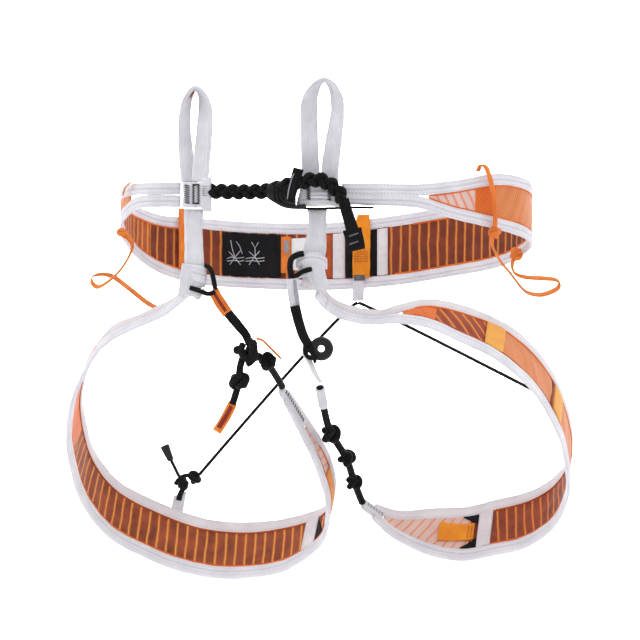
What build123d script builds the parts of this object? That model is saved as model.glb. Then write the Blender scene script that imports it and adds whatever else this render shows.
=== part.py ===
"""Ultralight climbing harness: waist belt, two tie-in loops, two leg loops and their cords.

Millimetres, +Z up, +X to the viewer's right, +Y to the back of the waist.
The origin is the middle of the waist opening, and the belt's front is at -Y.
"""
import os
from math import cos, dist, radians, sin, sqrt, tan

from build123d import *

# Webbing and fabric
BELT_TAPE = 9.5
LEG_TAPE = 11.5
TAPE_THICK = 2.4
PANEL_THICK = 1.6
PATCH_THICK = 0.8
SEAM = 0.5
TIE_TAPE = 13.0
TIE_THICK = 2.4
GEAR_TAPE = 6.0
GEAR_THICK = 2.0

# Cords
LACE_DIA = 9.0
LACE_END_DIA = 8.0
ELASTIC_DIA = 2.8
KNOT_CORD_DIA = 6.0
LINK_DIA = 7.0
COLLAR_CORD_DIA = 3.6

# Belt stations: x, y, lower edge, upper edge, from the left collar round the back to the right
BELT = [
    (-88, -76, 13, 33),
    (-122, -75, 14, 33),
    (-140, -66, 13, 33),
    (-152, -45, 6, 32),
    (-157, -15, -2, 29),
    (-156, 18, -12, 25),
    (-147, 48, -24, 20),
    (-129, 66, -35, 15),
    (-96, 77, -43, 13),
    (-49, 82, -46, 10),
    (8, 84, -47, 10),
    (63, 80, -43, 16),
    (109, 70, -36, 23),
    (146, 48, -29, 28),
    (164, 22, -20, 31),
    (168, -8, -13, 34),
    (159, -38, -8, 39),
    (136, -58, -2, 41),
    (103, -70, 5, 35),
    (76, -75, 13, 32),
    (46, -77, 15, 32),
    (11, -78, 16, 32),
]

# Leg loop stations: x, y, z, width, tilt of the width from level, from the front collar round
LEFT_LEG = [
    (-98, -73, -48, 20, 33),
    (-117, -61, -62, 20, 33),
    (-139, -50, -72, 20, 33),
    (-162, -39, -82, 24, 33),
    (-177, -27, -97, 30, 33),
    (-190, -10, -120, 40, 33),
    (-197, 7, -144, 48, 34),
    (-197, 25, -171, 52, 36),
    (-191, 44, -202, 54, 40),
    (-173, 59, -231, 56, 46),
    (-142, 65, -248, 56, 50),
    (-102, 65, -260, 56, 50),
    (-62, 60, -263, 56, 50),
    (-25, 49, -256, 55, 48),
    (2, 34, -240, 48, 40),
    (9, 18, -218, 42, 34),
    (4, 1, -190, 38, 33),
    (-10, -16, -161, 28, 33),
    (-24, -29, -136, 20, 33),
    (-31, -35, -125, 16, 33),
]
RIGHT_LEG = [
    (-2, -72, -49, 20, 33),
    (8, -66, -60, 20, 33),
    (23, -65, -67, 20, 33),
    (43, -66, -70, 20, 33),
    (61, -71, -67, 26, 33),
    (84, -75, -67, 40, 33),
    (114, -75, -77, 50, 33),
    (144, -70, -92, 54, 33),
    (171, -58, -118, 56, 33),
    (189, -41, -150, 56, 33),
    (197, -22, -181, 56, 35),
    (196, -5, -206, 56, 40),
    (186, 10, -227, 56, 45),
    (168, 21, -239, 56, 49),
    (144, 29, -244, 54, 50),
    (119, 36, -248, 54, 50),
    (90, 39, -245, 48, 46),
    (64, 41, -240, 34, 38),
    (46, 37, -230, 22, 33),
    (34, 34, -221, 16, 33),
]
LEFT_MIDDLE = (-95, 5, -155)
RIGHT_MIDDLE = (95, -20, -150)

# Tie-in loop stations: x, y, z, turn of the width from the belt's front
LEFT_TIE_IN = [
    (-99.3, -77.3, 36, 4),
    (-101.2, -77.5, 48, 28),
    (-102.8, -78.2, 68, 48),
    (-102.6, -78.8, 85, 56),
    (-100.3, -79, 97, 70),
    (-94.8, -79, 104, 90),
    (-89.0, -79, 98, 120),
    (-87.2, -79.4, 86, 146),
    (-88.0, -79.8, 70, 162),
    (-89.6, -80.3, 52, 174),
    (-91.3, -80.7, 36, 177),
]
RIGHT_TIE_IN = [
    (-6.5, -77.3, 33, 3),
    (-7.3, -77.6, 46, 9),
    (-8.0, -78.2, 65, 14),
    (-8.6, -78.6, 86, 20),
    (-7.2, -79, 98, 40),
    (-2.4, -79, 107, 68),
    (3.4, -79, 110, 90),
    (9.2, -79, 106, 114),
    (12.8, -79, 96, 130),
    (13.2, -79, 84, 136),
    (10.6, -79.4, 66, 152),
    (8.2, -80, 48, 168),
    (6.8, -80.4, 33, 177),
]

# Gear loop stations: x, y, z
LEFT_GEAR = [
    (-157, -19, -6),
    (-148, -22, -12),
    (-151, -26, -23),
    (-160, -28, -36),
    (-174, -25, -46),
    (-181, -17, -41),
    (-178, -7, -36),
    (-165, 10, -38),
    (-141, 33, -58),
    (-128, 48, -58),
    (-121, 60, -45),
]
RIGHT_GEAR = [
    (134, -61, -6),
    (133, -56, -15),
    (140, -45, -26),
    (150, -32, -36),
    (162, -18, -49),
    (175, -8, -52),
    (188, 0, -48),
    (192, 4, -43),
    (187, 8, -39),
    (162, 10, -37),
    (156, 12, -30),
    (162, 14, -19),
]

# Cord routes
LACE = [(-83.6, -81, 26), (-62, -82.5, 25), (-40, -84.5, 25.5)]
LACE_END = [(-12.6, -89, 34.5), (-3, -89, 37.5), (6, -89, 34.5), (13.4, -89, 27), (17.4, -89, 19.5)]
ELASTIC_LEFT = [(-101.5, 84, -202), (20, 82, -60.5), (31.7, 82, -57.4)]
ELASTIC_RIGHT = [(32.3, 82, -57.4), (42, 80.5, -58.6), (183.6, -8.2, -131.7)]
KNOTTED_LEFT = [(-60.5, -79, -98.5), (-52, -77, -97), (-40, -68, -103), (-29.5, -38, -124)]
KNOTTED_RIGHT = [(32.4, 30.8, -217.6), (27.6, 22, -204), (22, 8, -183), (8, -12, -162), (3.4, -28, -144), (0, -44, -125)]
TAIL_LEFT = [(-60.5, -80, -105), (-61.5, -80, -114), (-62, -80, -122), (-66.5, -80, -136)]
LINK_RIGHT = [(-18.4, -83.2, -63), (-15, -81, -79), (-10.4, -79.2, -88.8)]


def between(stations, t):
    """Return the smooth row of numbers at station t of a list."""
    i = min(max(int(t), 0), len(stations) - 2)
    f = t - i
    b = stations[i]
    c = stations[i + 1]
    a = stations[i - 1] if i > 0 else [2 * p - q for p, q in zip(b, c)]
    d = stations[i + 2] if i + 2 < len(stations) else [2 * q - p for p, q in zip(b, c)]
    row = []
    for p, q, r, s in zip(a, b, c, d):
        bend = 2 * p - 5 * q + 4 * r - s
        twist = 3 * q - p - 3 * r + s
        row.append(0.5 * (2 * q + (r - p) * f + bend * f * f + twist * f ** 3))
    return row


def belt_strip(first, last, edges, thickness, inward=0.0):
    """Loft a strip of the belt between two stations; edges gives its low and high edge."""
    cuts = []
    count = max(2, round((last - first) * 3))
    for step in range(count + 1):
        t = first + (last - first) * step / count
        x, y, low, high = between(BELT, t)
        ahead = between(BELT, t + 0.02)
        behind = between(BELT, t - 0.02)
        run = Vector(ahead[0] - behind[0], ahead[1] - behind[1], 0).normalized()
        bottom, top = edges(low, high)
        middle = Vector(x, y, (bottom + top) / 2) + Vector(run.Y, -run.X, 0) * inward
        with BuildSketch(Plane(origin=middle, x_dir=(0, 0, 1), z_dir=run)) as cut:
            Rectangle(top - bottom, thickness)
        cuts.append(cut.sketch.face())
    loft(sections=cuts)


def upper_tape(low, high):
    return high - min(BELT_TAPE, (high - low - SEAM) / 2), high


def lower_tape(low, high):
    return low, low + min(BELT_TAPE, (high - low - SEAM) / 2)


def panel_span(low, high):
    return low + BELT_TAPE + SEAM, high - BELT_TAPE - SEAM


def back_station(x):
    """Return the belt station at the back whose x is the one given."""
    low = 7.0
    high = 14.0
    for _ in range(24):
        middle = (low + high) / 2
        if between(BELT, middle)[0] < x:
            low = middle
        else:
            high = middle
    return low


def patch(left, right, drop=0.0, rise=0.0, layer=1):
    """Loft a patch on the inner face of the belt's back, between two x values."""
    inward = PANEL_THICK / 2 + (PATCH_THICK + 0.1) * (layer - 0.5) + 0.05

    def edges(low, high):
        return low + BELT_TAPE + 0.5 + drop, high - BELT_TAPE - 0.5 - rise

    belt_strip(back_station(left), back_station(right), edges, PATCH_THICK, inward)


def leg_strip(stations, middle, first, last, place, thickness, outward=0.0, rate=3):
    """Loft a strip of a leg loop; place gives its offset from the middle line and its width."""
    cuts = []
    count = max(2, round((last - first) * rate))
    for step in range(count + 1):
        t = first + (last - first) * step / count
        x, y, z, width, tilt = between(stations, t)
        across = Vector(0.15, cos(radians(tilt)), sin(radians(tilt))).normalized()
        run = Vector(*between(stations, t + 0.02)[:3]) - Vector(*between(stations, t - 0.02)[:3])
        run = (run - across * run.dot(across)).normalized()
        out = run.cross(across)
        if out.dot(Vector(x, y, z) - Vector(*middle)) < 0:
            out = out * -1
        shift, span = place(width)
        middle_point = Vector(x, y, z) + across * shift + out * outward
        with BuildSketch(Plane(origin=middle_point, x_dir=across, z_dir=run)) as cut:
            Rectangle(span, thickness)
        cuts.append(cut.sketch.face())
    loft(sections=cuts)


def near_tape(width):
    span = min(LEG_TAPE, (width - SEAM) / 2)
    return -(width - span) / 2, span


def far_tape(width):
    span = min(LEG_TAPE, (width - SEAM) / 2)
    return (width - span) / 2, span


def leg_panel(width):
    return 0, width - 2 * LEG_TAPE - 2 * SEAM


def leg_patch(width):
    return 0, width - 2 * LEG_TAPE - 1.2


def tie_in(stations):
    """Loft a tie-in loop from one foot over its top to the other."""
    cuts = []
    count = (len(stations) - 1) * 4
    for step in range(count + 1):
        t = (len(stations) - 1) * step / count
        x, y, z, turn = between(stations, t)
        across = Vector(cos(radians(turn)), sin(radians(turn)), 0)
        run = Vector(*between(stations, t + 0.02)[:3]) - Vector(*between(stations, t - 0.02)[:3])
        if step in (0, count):
            run = Vector(0, 0, run.Z)
        run = (run - across * run.dot(across)).normalized()
        with BuildSketch(Plane(origin=(x, y, z), x_dir=across, z_dir=run)) as cut:
            Rectangle(TIE_TAPE, TIE_THICK)
        cuts.append(cut.sketch.face())
    loft(sections=cuts)


def ribbon(stations, across, width, thickness, rate=3):
    """Loft a flat tape through points, with its width along one direction."""
    cuts = []
    side = Vector(*across).normalized()
    count = (len(stations) - 1) * rate
    for step in range(count + 1):
        t = (len(stations) - 1) * step / count
        run = Vector(*between(stations, t + 0.02)) - Vector(*between(stations, t - 0.02))
        run = (run - side * run.dot(side)).normalized()
        with BuildSketch(Plane(origin=between(stations, t), x_dir=side, z_dir=run)) as cut:
            Rectangle(width, thickness)
        cuts.append(cut.sketch.face())
    loft(sections=cuts)


def bend_radii(route):
    """Return the arc radius at each corner of a route, as large as its two runs allow."""
    radii = []
    for a, b, c in zip(route, route[1:], route[2:]):
        into = (Vector(*b) - Vector(*a)).normalized()
        out = (Vector(*c) - Vector(*b)).normalized()
        half = radians(into.get_angle(out)) / 2
        radii.append(0.45 * min(dist(a, b), dist(b, c)) / tan(max(half, 0.01)))
    return radii


def cord(route, diameter, name):
    """Sweep a round cord along straight runs joined by tangent arcs."""
    if len(route) > 2:
        radii = bend_radii(route)
        with BuildLine() as path:
            FilletPolyline(*route, radius=radii)
        print(name, "bend radii", [round(r) for r in radii])
    else:
        with BuildLine() as path:
            Line(*route)
    route_wire = path.wires()[0]
    with BuildSketch(Plane(origin=route_wire @ 0, z_dir=route_wire % 0)) as round_cut:
        Circle(diameter / 2)
    sweep(sections=round_cut.sketch, path=route_wire)
    print(name, "length", round(route_wire.length, 1))


def slab(a, b, side, width, thickness):
    """Extrude a flat piece from point a to point b, with its width along side."""
    start = Vector(*a)
    run = Vector(*b) - start
    with BuildSketch(Plane(origin=start, x_dir=side, z_dir=run.normalized())) as cut:
        Rectangle(width, thickness)
    extrude(to_extrude=cut.sketch, amount=run.length)


def block(x, y, z, radius=0.0):
    """Make a box from its low and high x, y and z, with rounded upright edges."""
    with BuildSketch(Plane.XZ.offset(-y[1])) as cut:
        with Locations(((x[0] + x[1]) / 2, (z[0] + z[1]) / 2)):
            if radius:
                RectangleRounded(x[1] - x[0], z[1] - z[0], radius)
            else:
                Rectangle(x[1] - x[0], z[1] - z[0])
    extrude(to_extrude=cut.sketch, amount=y[1] - y[0])


def knot(places):
    """Add round knots, each given as a centre and a radius."""
    for centre, radius in places:
        with Locations(centre):
            Sphere(radius)


# Waist belt
with BuildPart() as belt_upper_tape:
    belt_strip(0.50, 20.84, upper_tape, TAPE_THICK)
with BuildPart() as belt_lower_tape:
    belt_strip(0.50, 20.84, lower_tape, TAPE_THICK)
with BuildPart() as belt_panel:
    belt_strip(2.45, 18.75, panel_span, PANEL_THICK)
with BuildPart() as left_collar:
    block((-104.2, -84.2), (-82.6, -75.4), (13.5, 32.5), 1.5)
with BuildPart() as right_collar:
    block((-17.4, 15.8), (-83.6, -75.4), (14.8, 29.5), 1.5)

# Labels and cross tapes on the inner face of the belt
with BuildPart() as instruction_label:
    patch(-82, -33)
with BuildPart() as care_label:
    patch(-24, 3.6, 7, 3)
with BuildPart() as back_tape_left:
    patch(10.8, 21)
with BuildPart() as haul_backing:
    patch(21.8, 47.6)
with BuildPart() as back_tape_right:
    patch(48.2, 57)
with BuildPart() as haul_tab:
    ribbon([(35, 79.2, -35), (35, 79.0, -10), (35, 78.6, 8), (35, 79.5, 17)], (1, 0, 0), 15, 1.2)
with BuildPart() as hanger_tab:
    slab((32, 80.2, -37.5), (32, 80.9, -55), (1, 0, 0), 10, 1.4)
with BuildPart() as right_slot_tape:
    belt_strip(17.0, 17.2, lambda low, high: (low + 1, high + 2), 0.9, -1.9)

# Waist lace, hook buckle and the black fittings in front of the right collar
with BuildPart() as waist_lace:
    cord(LACE, LACE_DIA, "waist_lace")
with BuildPart() as hook_buckle:
    with BuildSketch(Plane.XZ.offset(82)):
        with BuildLine():
            FilletPolyline((-39, 21), (-39, 29), (-32, 34), (-18, 34), (-18, 14.2), (-27, 15.5), radius=1.6, close=True)
        make_face()
    extrude(amount=6)
with BuildPart() as keeper_flap:
    with BuildSketch(Plane.XZ.offset(88.4)):
        with BuildLine():
            FilletPolyline((-24.5, 17), (-18.4, 42.6), (-14.2, 40), (-19.5, 18.5), radius=1.0, close=True)
        make_face()
    extrude(amount=3.6)
with BuildPart() as lace_end:
    cord(LACE_END, LACE_END_DIA, "lace_end")

# Lace tail
with BuildPart() as lace_tail:
    slab((19.0, -89, 14.6), (24.4, -88, -3.4), (1, 0, 0.27), 7, 2.2)
with BuildPart() as lace_tail_tab:
    slab((24.6, -88, -3.8), (27.4, -88, -19), (1, 0, 0.16), 14, 2.0)

# Tie-in loops
with BuildPart() as tie_in_loop_left:
    tie_in(LEFT_TIE_IN)
with BuildPart() as tie_in_loop_right:
    tie_in(RIGHT_TIE_IN)

# Left leg loop
with BuildPart() as left_riser:
    block((-102.4, -89.8), (-80.5, -77.5), (-31.6, 11.4))
with BuildPart() as left_leg_collar:
    block((-104, -85), (-82, -76), (-52, -32), 1.5)
with BuildPart() as left_near_tape:
    leg_strip(LEFT_LEG, LEFT_MIDDLE, 0.45, 18.3, near_tape, TAPE_THICK)
with BuildPart() as left_far_tape:
    leg_strip(LEFT_LEG, LEFT_MIDDLE, 0.45, 18.3, far_tape, TAPE_THICK)
with BuildPart() as left_leg_panel:
    leg_strip(LEFT_LEG, LEFT_MIDDLE, 3.5, 17.1, leg_panel, PANEL_THICK)
with BuildPart() as left_outer_tape:
    leg_strip(LEFT_LEG, LEFT_MIDDLE, 6.0, 6.25, leg_patch, 1.0, 1.4)
with BuildPart() as left_cross_tape:
    leg_strip(LEFT_LEG, LEFT_MIDDLE, 13.4, 13.75, leg_patch, 1.0, -1.4)
with BuildPart() as left_end_sleeve:
    leg_strip(LEFT_LEG, LEFT_MIDDLE, 18.36, 18.95, lambda width: (0, 9.5), 5)
with BuildPart() as left_elastic_tab:
    block((-124, -112), (82.9, 84.9), (-231.6, -219))
with BuildPart() as left_elastic_knot:
    knot([((-110.5, 84, -210.5), 7.2), ((-128.7, 84, -183), 5.0)])
    cord([(-128.7, 84, -183), (-121, 84, -197.5), (-111, 84, -209)], ELASTIC_DIA, "stopper_tail")

# Left closure, fastened
with BuildPart() as left_collar_cord:
    cord([(-86, -84.4, -33), (-81, -84.4, -40), (-79.5, -84.4, -49)], COLLAR_CORD_DIA, "left_collar_cord")
with BuildPart() as left_link_tag:
    slab((-80.5, -83, -51.6), (-70.6, -82, -66.4), (0.83, 0, 0.56), 8, 3.4)
with BuildPart() as left_link_strap:
    slab((-70.2, -82, -67), (-54.5, -79, -86), (0.77, 0, 0.64), 7, 3)
with BuildPart() as left_ring:
    with Locations(Plane(origin=(-52.5, -77.4, -96.6), z_dir=(1, 0.25, -0.2))):
        Torus(7.4, 3.0)
with BuildPart() as left_knot_cord:
    cord(KNOTTED_LEFT, KNOT_CORD_DIA - 0.4, "left_knot_cord")
    knot([((-40, -67, -103.2), 6.4)])

# Left cord tail and pull tab
with BuildPart() as left_tail_cord:
    cord(TAIL_LEFT, KNOT_CORD_DIA, "left_tail_cord")
    knot([((-61.5, -80, -118), 7.4)])
with BuildPart() as left_tail_tag:
    slab((-66.8, -80, -136.6), (-78, -80, -156), (0.87, 0, -0.5), 7, 3)
with BuildPart() as left_pull_tab:
    ribbon([(-47.6, -80.5, -86.6), (-41, -80.5, -89.8), (-29.5, -80.5, -101.5)], (0, 1, 0), 8, 1.6)

# Right leg loop
with BuildPart() as right_riser:
    block((-9.2, 5.2), (-80.5, -77.5), (-22.6, 11.4))
with BuildPart() as right_leg_collar:
    block((-17, 3.6), (-82, -76), (-48.6, -23), 1.5)
with BuildPart() as right_near_tape:
    leg_strip(RIGHT_LEG, RIGHT_MIDDLE, 0.75, 18.15, near_tape, TAPE_THICK)
with BuildPart() as right_far_tape:
    leg_strip(RIGHT_LEG, RIGHT_MIDDLE, 0.75, 18.15, far_tape, TAPE_THICK)
with BuildPart() as right_leg_panel:
    leg_strip(RIGHT_LEG, RIGHT_MIDDLE, 4.1, 17.6, leg_panel, PANEL_THICK)
with BuildPart() as right_front_tape:
    leg_strip(RIGHT_LEG, RIGHT_MIDDLE, 6.4, 6.65, leg_patch, 1.0, 1.4)
with BuildPart() as right_side_tape:
    leg_strip(RIGHT_LEG, RIGHT_MIDDLE, 8.45, 8.7, leg_patch, 1.0, 1.4)
with BuildPart() as right_cross_tape:
    leg_strip(RIGHT_LEG, RIGHT_MIDDLE, 14.15, 14.6, leg_patch, 1.0, -1.4)
with BuildPart() as right_amber_webbing:
    leg_strip(RIGHT_LEG, RIGHT_MIDDLE, 15.05, 16.0, lambda width: (0, 14), 1.0, -1.4)
with BuildPart() as right_end_sleeve:
    leg_strip(RIGHT_LEG, RIGHT_MIDDLE, 18.2, 18.9, lambda width: (0, 11), 5)
with BuildPart() as right_elastic_tab:
    slab((190.2, -13.4, -138), (184.6, -9.6, -133), (0, 0.4, 0.9), 8, 2)
with BuildPart() as right_collar_cord:
    cord([(-10, -84.4, -23), (-18, -84.4, -25), (-22.5, -84.4, -31), (-21, -84.4, -39)], COLLAR_CORD_DIA, "right_collar_cord")

# Right closure, released: link with its ring, and its pull tab
with BuildPart() as right_link_tag:
    slab((-20.8, -84.8, -41.6), (-18.6, -83.4, -62.4), (1, 0, 0.13), 9, 3.4)
with BuildPart() as right_link_cord:
    cord(LINK_RIGHT, LINK_DIA, "right_link_cord")
with BuildPart() as right_ring:
    with Locations(Plane(origin=(1.6, -78.6, -93.6), z_dir=(0, -1, 0))):
        Torus(6.6, 2.8)
with BuildPart() as right_pull_tab:
    ribbon([(-10.4, -81.5, -98.4), (-7.5, -81.5, -104.5), (-0.5, -81.5, -118.5)], (0.3, 1, 0), 7, 1.6)

# Right knotted cord
with BuildPart() as right_knot_cord:
    cord(KNOTTED_RIGHT, KNOT_CORD_DIA, "right_knot_cord")
    knot([((27.6, 22, -204), 6.4), ((22, 8, -183), 6.6), ((8, -12, -162), 7.6)])

# Gear loops
with BuildPart() as gear_loop_left:
    ribbon(LEFT_GEAR, (0.35, 0.9, 0.1), GEAR_TAPE, GEAR_THICK)
with BuildPart() as gear_loop_right:
    ribbon(RIGHT_GEAR, (-0.35, 0.9, 0.1), GEAR_TAPE, GEAR_THICK)

# Elastic cords from the back of the belt to the leg loops
with BuildPart() as elastic_left:
    cord(ELASTIC_LEFT, ELASTIC_DIA, "elastic_left")
with BuildPart() as elastic_right:
    cord(ELASTIC_RIGHT, ELASTIC_DIA, "elastic_right")

PIECES = {
    "belt_upper_tape": belt_upper_tape,
    "belt_lower_tape": belt_lower_tape,
    "belt_panel": belt_panel,
    "left_collar": left_collar,
    "right_collar": right_collar,
    "instruction_label": instruction_label,
    "care_label": care_label,
    "back_tape_left": back_tape_left,
    "haul_backing": haul_backing,
    "back_tape_right": back_tape_right,
    "haul_tab": haul_tab,
    "hanger_tab": hanger_tab,
    "right_slot_tape": right_slot_tape,
    "waist_lace": waist_lace,
    "hook_buckle": hook_buckle,
    "keeper_flap": keeper_flap,
    "lace_end": lace_end,
    "lace_tail": lace_tail,
    "lace_tail_tab": lace_tail_tab,
    "tie_in_loop_left": tie_in_loop_left,
    "tie_in_loop_right": tie_in_loop_right,
    "left_riser": left_riser,
    "left_leg_collar": left_leg_collar,
    "left_near_tape": left_near_tape,
    "left_far_tape": left_far_tape,
    "left_leg_panel": left_leg_panel,
    "left_outer_tape": left_outer_tape,
    "left_cross_tape": left_cross_tape,
    "left_end_sleeve": left_end_sleeve,
    "left_elastic_tab": left_elastic_tab,
    "left_elastic_knot": left_elastic_knot,
    "left_collar_cord": left_collar_cord,
    "left_link_tag": left_link_tag,
    "left_link_strap": left_link_strap,
    "left_ring": left_ring,
    "left_knot_cord": left_knot_cord,
    "left_tail_cord": left_tail_cord,
    "left_tail_tag": left_tail_tag,
    "left_pull_tab": left_pull_tab,
    "right_riser": right_riser,
    "right_leg_collar": right_leg_collar,
    "right_near_tape": right_near_tape,
    "right_far_tape": right_far_tape,
    "right_leg_panel": right_leg_panel,
    "right_front_tape": right_front_tape,
    "right_side_tape": right_side_tape,
    "right_cross_tape": right_cross_tape,
    "right_amber_webbing": right_amber_webbing,
    "right_end_sleeve": right_end_sleeve,
    "right_elastic_tab": right_elastic_tab,
    "right_collar_cord": right_collar_cord,
    "right_link_tag": right_link_tag,
    "right_link_cord": right_link_cord,
    "right_ring": right_ring,
    "right_pull_tab": right_pull_tab,
    "right_knot_cord": right_knot_cord,
    "gear_loop_left": gear_loop_left,
    "gear_loop_right": gear_loop_right,
    "elastic_left": elastic_left,
    "elastic_right": elastic_right,
}
os.makedirs("parts", exist_ok=True)
for name, piece in PIECES.items():
    piece.part.label = name
    export_step(piece.part, f"parts/{name}.step")
print(len(PIECES), "pieces")
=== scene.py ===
from math import cos, pi, radians, sin

import bpy
import numpy as np
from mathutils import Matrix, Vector


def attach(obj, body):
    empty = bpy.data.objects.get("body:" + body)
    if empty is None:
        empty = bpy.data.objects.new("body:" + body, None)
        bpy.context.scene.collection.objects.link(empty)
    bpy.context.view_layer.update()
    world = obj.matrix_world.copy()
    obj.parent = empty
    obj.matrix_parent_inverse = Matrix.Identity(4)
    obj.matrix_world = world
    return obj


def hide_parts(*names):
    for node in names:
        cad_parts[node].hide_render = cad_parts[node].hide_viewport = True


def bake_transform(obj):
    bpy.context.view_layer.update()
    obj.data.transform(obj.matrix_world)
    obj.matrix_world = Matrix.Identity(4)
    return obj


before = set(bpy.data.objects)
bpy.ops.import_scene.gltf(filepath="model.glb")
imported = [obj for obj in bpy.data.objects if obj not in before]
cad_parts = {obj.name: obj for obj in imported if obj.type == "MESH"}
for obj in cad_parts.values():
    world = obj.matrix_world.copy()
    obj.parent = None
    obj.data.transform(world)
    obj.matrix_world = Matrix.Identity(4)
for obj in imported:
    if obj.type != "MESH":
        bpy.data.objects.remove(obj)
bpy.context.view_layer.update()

MM = 0.001

# ---- stations, in millimetres
# A belt station is x, y, bottom and top. A leg loop's is x, y, z, width and tilt in degrees.
# A tie-in loop's is x, y, z and turn in degrees. The other routes are plain points.

BELT = [
    (-88, -76, 13, 33), (-122, -75, 14, 33), (-140, -66, 13, 33), (-152, -45, 6, 32), (-157, -15, -2, 29),
    (-156, 18, -12, 25), (-147, 48, -24, 20), (-129, 66, -35, 15), (-96, 77, -43, 13), (-49, 82, -46, 10),
    (8, 84, -47, 10), (63, 80, -43, 16), (109, 70, -36, 23), (146, 48, -29, 28), (164, 22, -20, 31),
    (168, -8, -13, 34), (159, -38, -8, 39), (136, -58, -2, 41), (103, -70, 5, 35), (76, -75, 13, 32),
    (46, -77, 15, 32), (11, -78, 16, 32),
]
LEFT_LEG = [
    (-98, -73, -48, 20, 33), (-117, -61, -62, 20, 33), (-139, -50, -72, 20, 33), (-162, -39, -82, 24, 33),
    (-177, -27, -97, 30, 33), (-190, -10, -120, 40, 33), (-197, 7, -144, 48, 34), (-197, 25, -171, 52, 36),
    (-191, 44, -199.5, 54, 40), (-173, 59, -227, 56, 46), (-142, 65, -245.5, 56, 50),
    (-102, 65, -260, 56, 50), (-62, 60, -263, 56, 50), (-25, 49, -256, 55, 48), (2, 34, -240, 48, 40),
    (9, 18, -218, 42, 34), (4, 1, -190, 38, 33), (-10, -16, -161, 28, 33), (-24, -29, -136, 20, 33),
    (-31, -35, -125, 16, 33),
]
RIGHT_LEG = [
    (-2, -72, -49, 20, 33), (8, -66, -60, 20, 33), (23, -65, -67, 20, 33), (43, -66, -70, 20, 33),
    (61, -71, -67, 26, 33), (84, -75, -67, 40, 33), (114, -75, -77, 50, 33), (144, -70, -92, 54, 33),
    (171, -58, -118, 56, 33), (189, -41, -150, 56, 33), (197, -22, -181, 56, 35), (196, -5, -203, 56, 40),
    (186, 10, -221, 57, 45), (168, 21, -233.5, 57, 49), (144, 29, -240.5, 56, 50),
    (119, 36, -246.5, 54, 50), (90, 39, -245, 48, 46), (64, 41, -240, 34, 38), (46, 37, -230, 22, 33),
    (34, 34, -221, 16, 33),
]
LEGS = {"left": (LEFT_LEG, (-95, 5, -155)), "right": (RIGHT_LEG, (95, -20, -150))}  # stations and middle
LEFT_TIE_IN = [
    (-99.3, -77.3, 33, 2), (-99.6, -77.3, 38, 8), (-101.2, -77.5, 48, 28), (-102.8, -78.2, 68, 46),
    (-102.6, -78.8, 85, 54), (-100.3, -79, 97, 68), (-94.8, -79, 104.5, 90), (-89.0, -79, 98, 120),
    (-87.2, -79.4, 86, 148), (-88.0, -79.8, 70, 164), (-89.6, -80.3, 52, 174), (-91.3, -80.7, 33, 178),
]
RIGHT_TIE_IN = [
    (-6.5, -77.3, 30, 3), (-7.3, -77.6, 46, 8), (-8.0, -78.2, 65, 12), (-8.6, -78.6, 86, 16),
    (-7.2, -79, 98, 36), (-2.4, -79, 107, 66), (3.4, -79, 110.5, 90), (9.2, -79, 106, 114),
    (12.8, -79, 96, 132), (13.2, -79, 84, 138), (10.6, -79.4, 66, 154), (8.2, -80, 48, 168),
    (6.8, -80.4, 30, 177),
]
LEFT_GEAR = [
    (-157, -19, -2), (-148, -22, -12), (-151, -26, -23), (-160, -28, -36), (-174, -25, -46),
    (-181, -17, -41), (-178, -7, -36), (-165, 10, -38), (-141, 33, -58), (-130, 46, -61), (-118, 60, -52),
    (-111, 68, -43),
]
RIGHT_GEAR = [
    (134, -61.5, -1), (133, -57, -14), (140, -45, -26), (150, -32, -36), (162, -18, -49), (175, -8, -52),
    (188, 0, -48), (192, 4, -43), (187, 8, -39), (162, 10, -37), (155, 12, -30), (158, 13, -17),
]
LACE = [(-83.6, -81, 26), (-62, -82.5, 25), (-40, -84.5, 25.5)]
LACE_END = [(-12.6, -89, 32.4), (-3, -89, 34.8), (6, -89, 32), (13.4, -89, 25.8), (17.4, -89, 19.5)]
ELASTIC_LEFT = [(-101.5, 84, -202), (20, 82, -60.5), (31.7, 82, -57.4)]
ELASTIC_RIGHT = [(32.3, 82, -57.4), (42, 80.5, -60.4), (183.6, -8.2, -134.9)]
KNOTTED_LEFT = [(-60.5, -79, -98.5), (-52, -77, -97), (-40, -68, -103), (-29.5, -38, -124)]
KNOTTED_RIGHT = [
    (34.6, 33.4, -221.2), (27.6, 22, -204), (22, 8, -183), (8, -12, -162), (3.4, -28, -144), (0, -44, -125)
]
TAIL_LEFT = [(-60.5, -80, -105), (-61.5, -80, -114), (-62, -80, -122), (-66.5, -80, -136)]
LINK_RIGHT = [(-18.4, -83.2, -63), (-15, -81, -79), (-10.4, -79.2, -88.8)]

# ---- camera

camera_data = bpy.data.cameras.new("camera")
camera_data.lens = 112.5
camera_data.sensor_width = 36
camera_data.clip_end = 50
camera = bpy.data.objects.new("camera", camera_data)
camera.location = (0, -1.6, -0.072)
camera.rotation_euler = (radians(90), 0, 0)
bpy.context.collection.objects.link(camera)
bpy.context.scene.camera = camera
bpy.context.scene.view_settings.view_transform = "Standard"

# ---- curves and frames


def between(stations, t):
    """The smooth row of numbers at station t of a list."""
    i = min(max(int(t), 0), len(stations) - 2)
    f = t - i
    b = np.array(stations[i], float)
    c = np.array(stations[i + 1], float)
    a = np.array(stations[i - 1], float) if i > 0 else 2 * b - c
    d = np.array(stations[i + 2], float) if i + 2 < len(stations) else 2 * c - b
    return 0.5 * (2 * b + (c - a) * f + (2 * a - 5 * b + 4 * c - d) * f * f + (3 * b - a - 3 * c + d) * f ** 3)


def unit(v):
    v = np.array(v, float)
    return v / np.linalg.norm(v)


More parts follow.
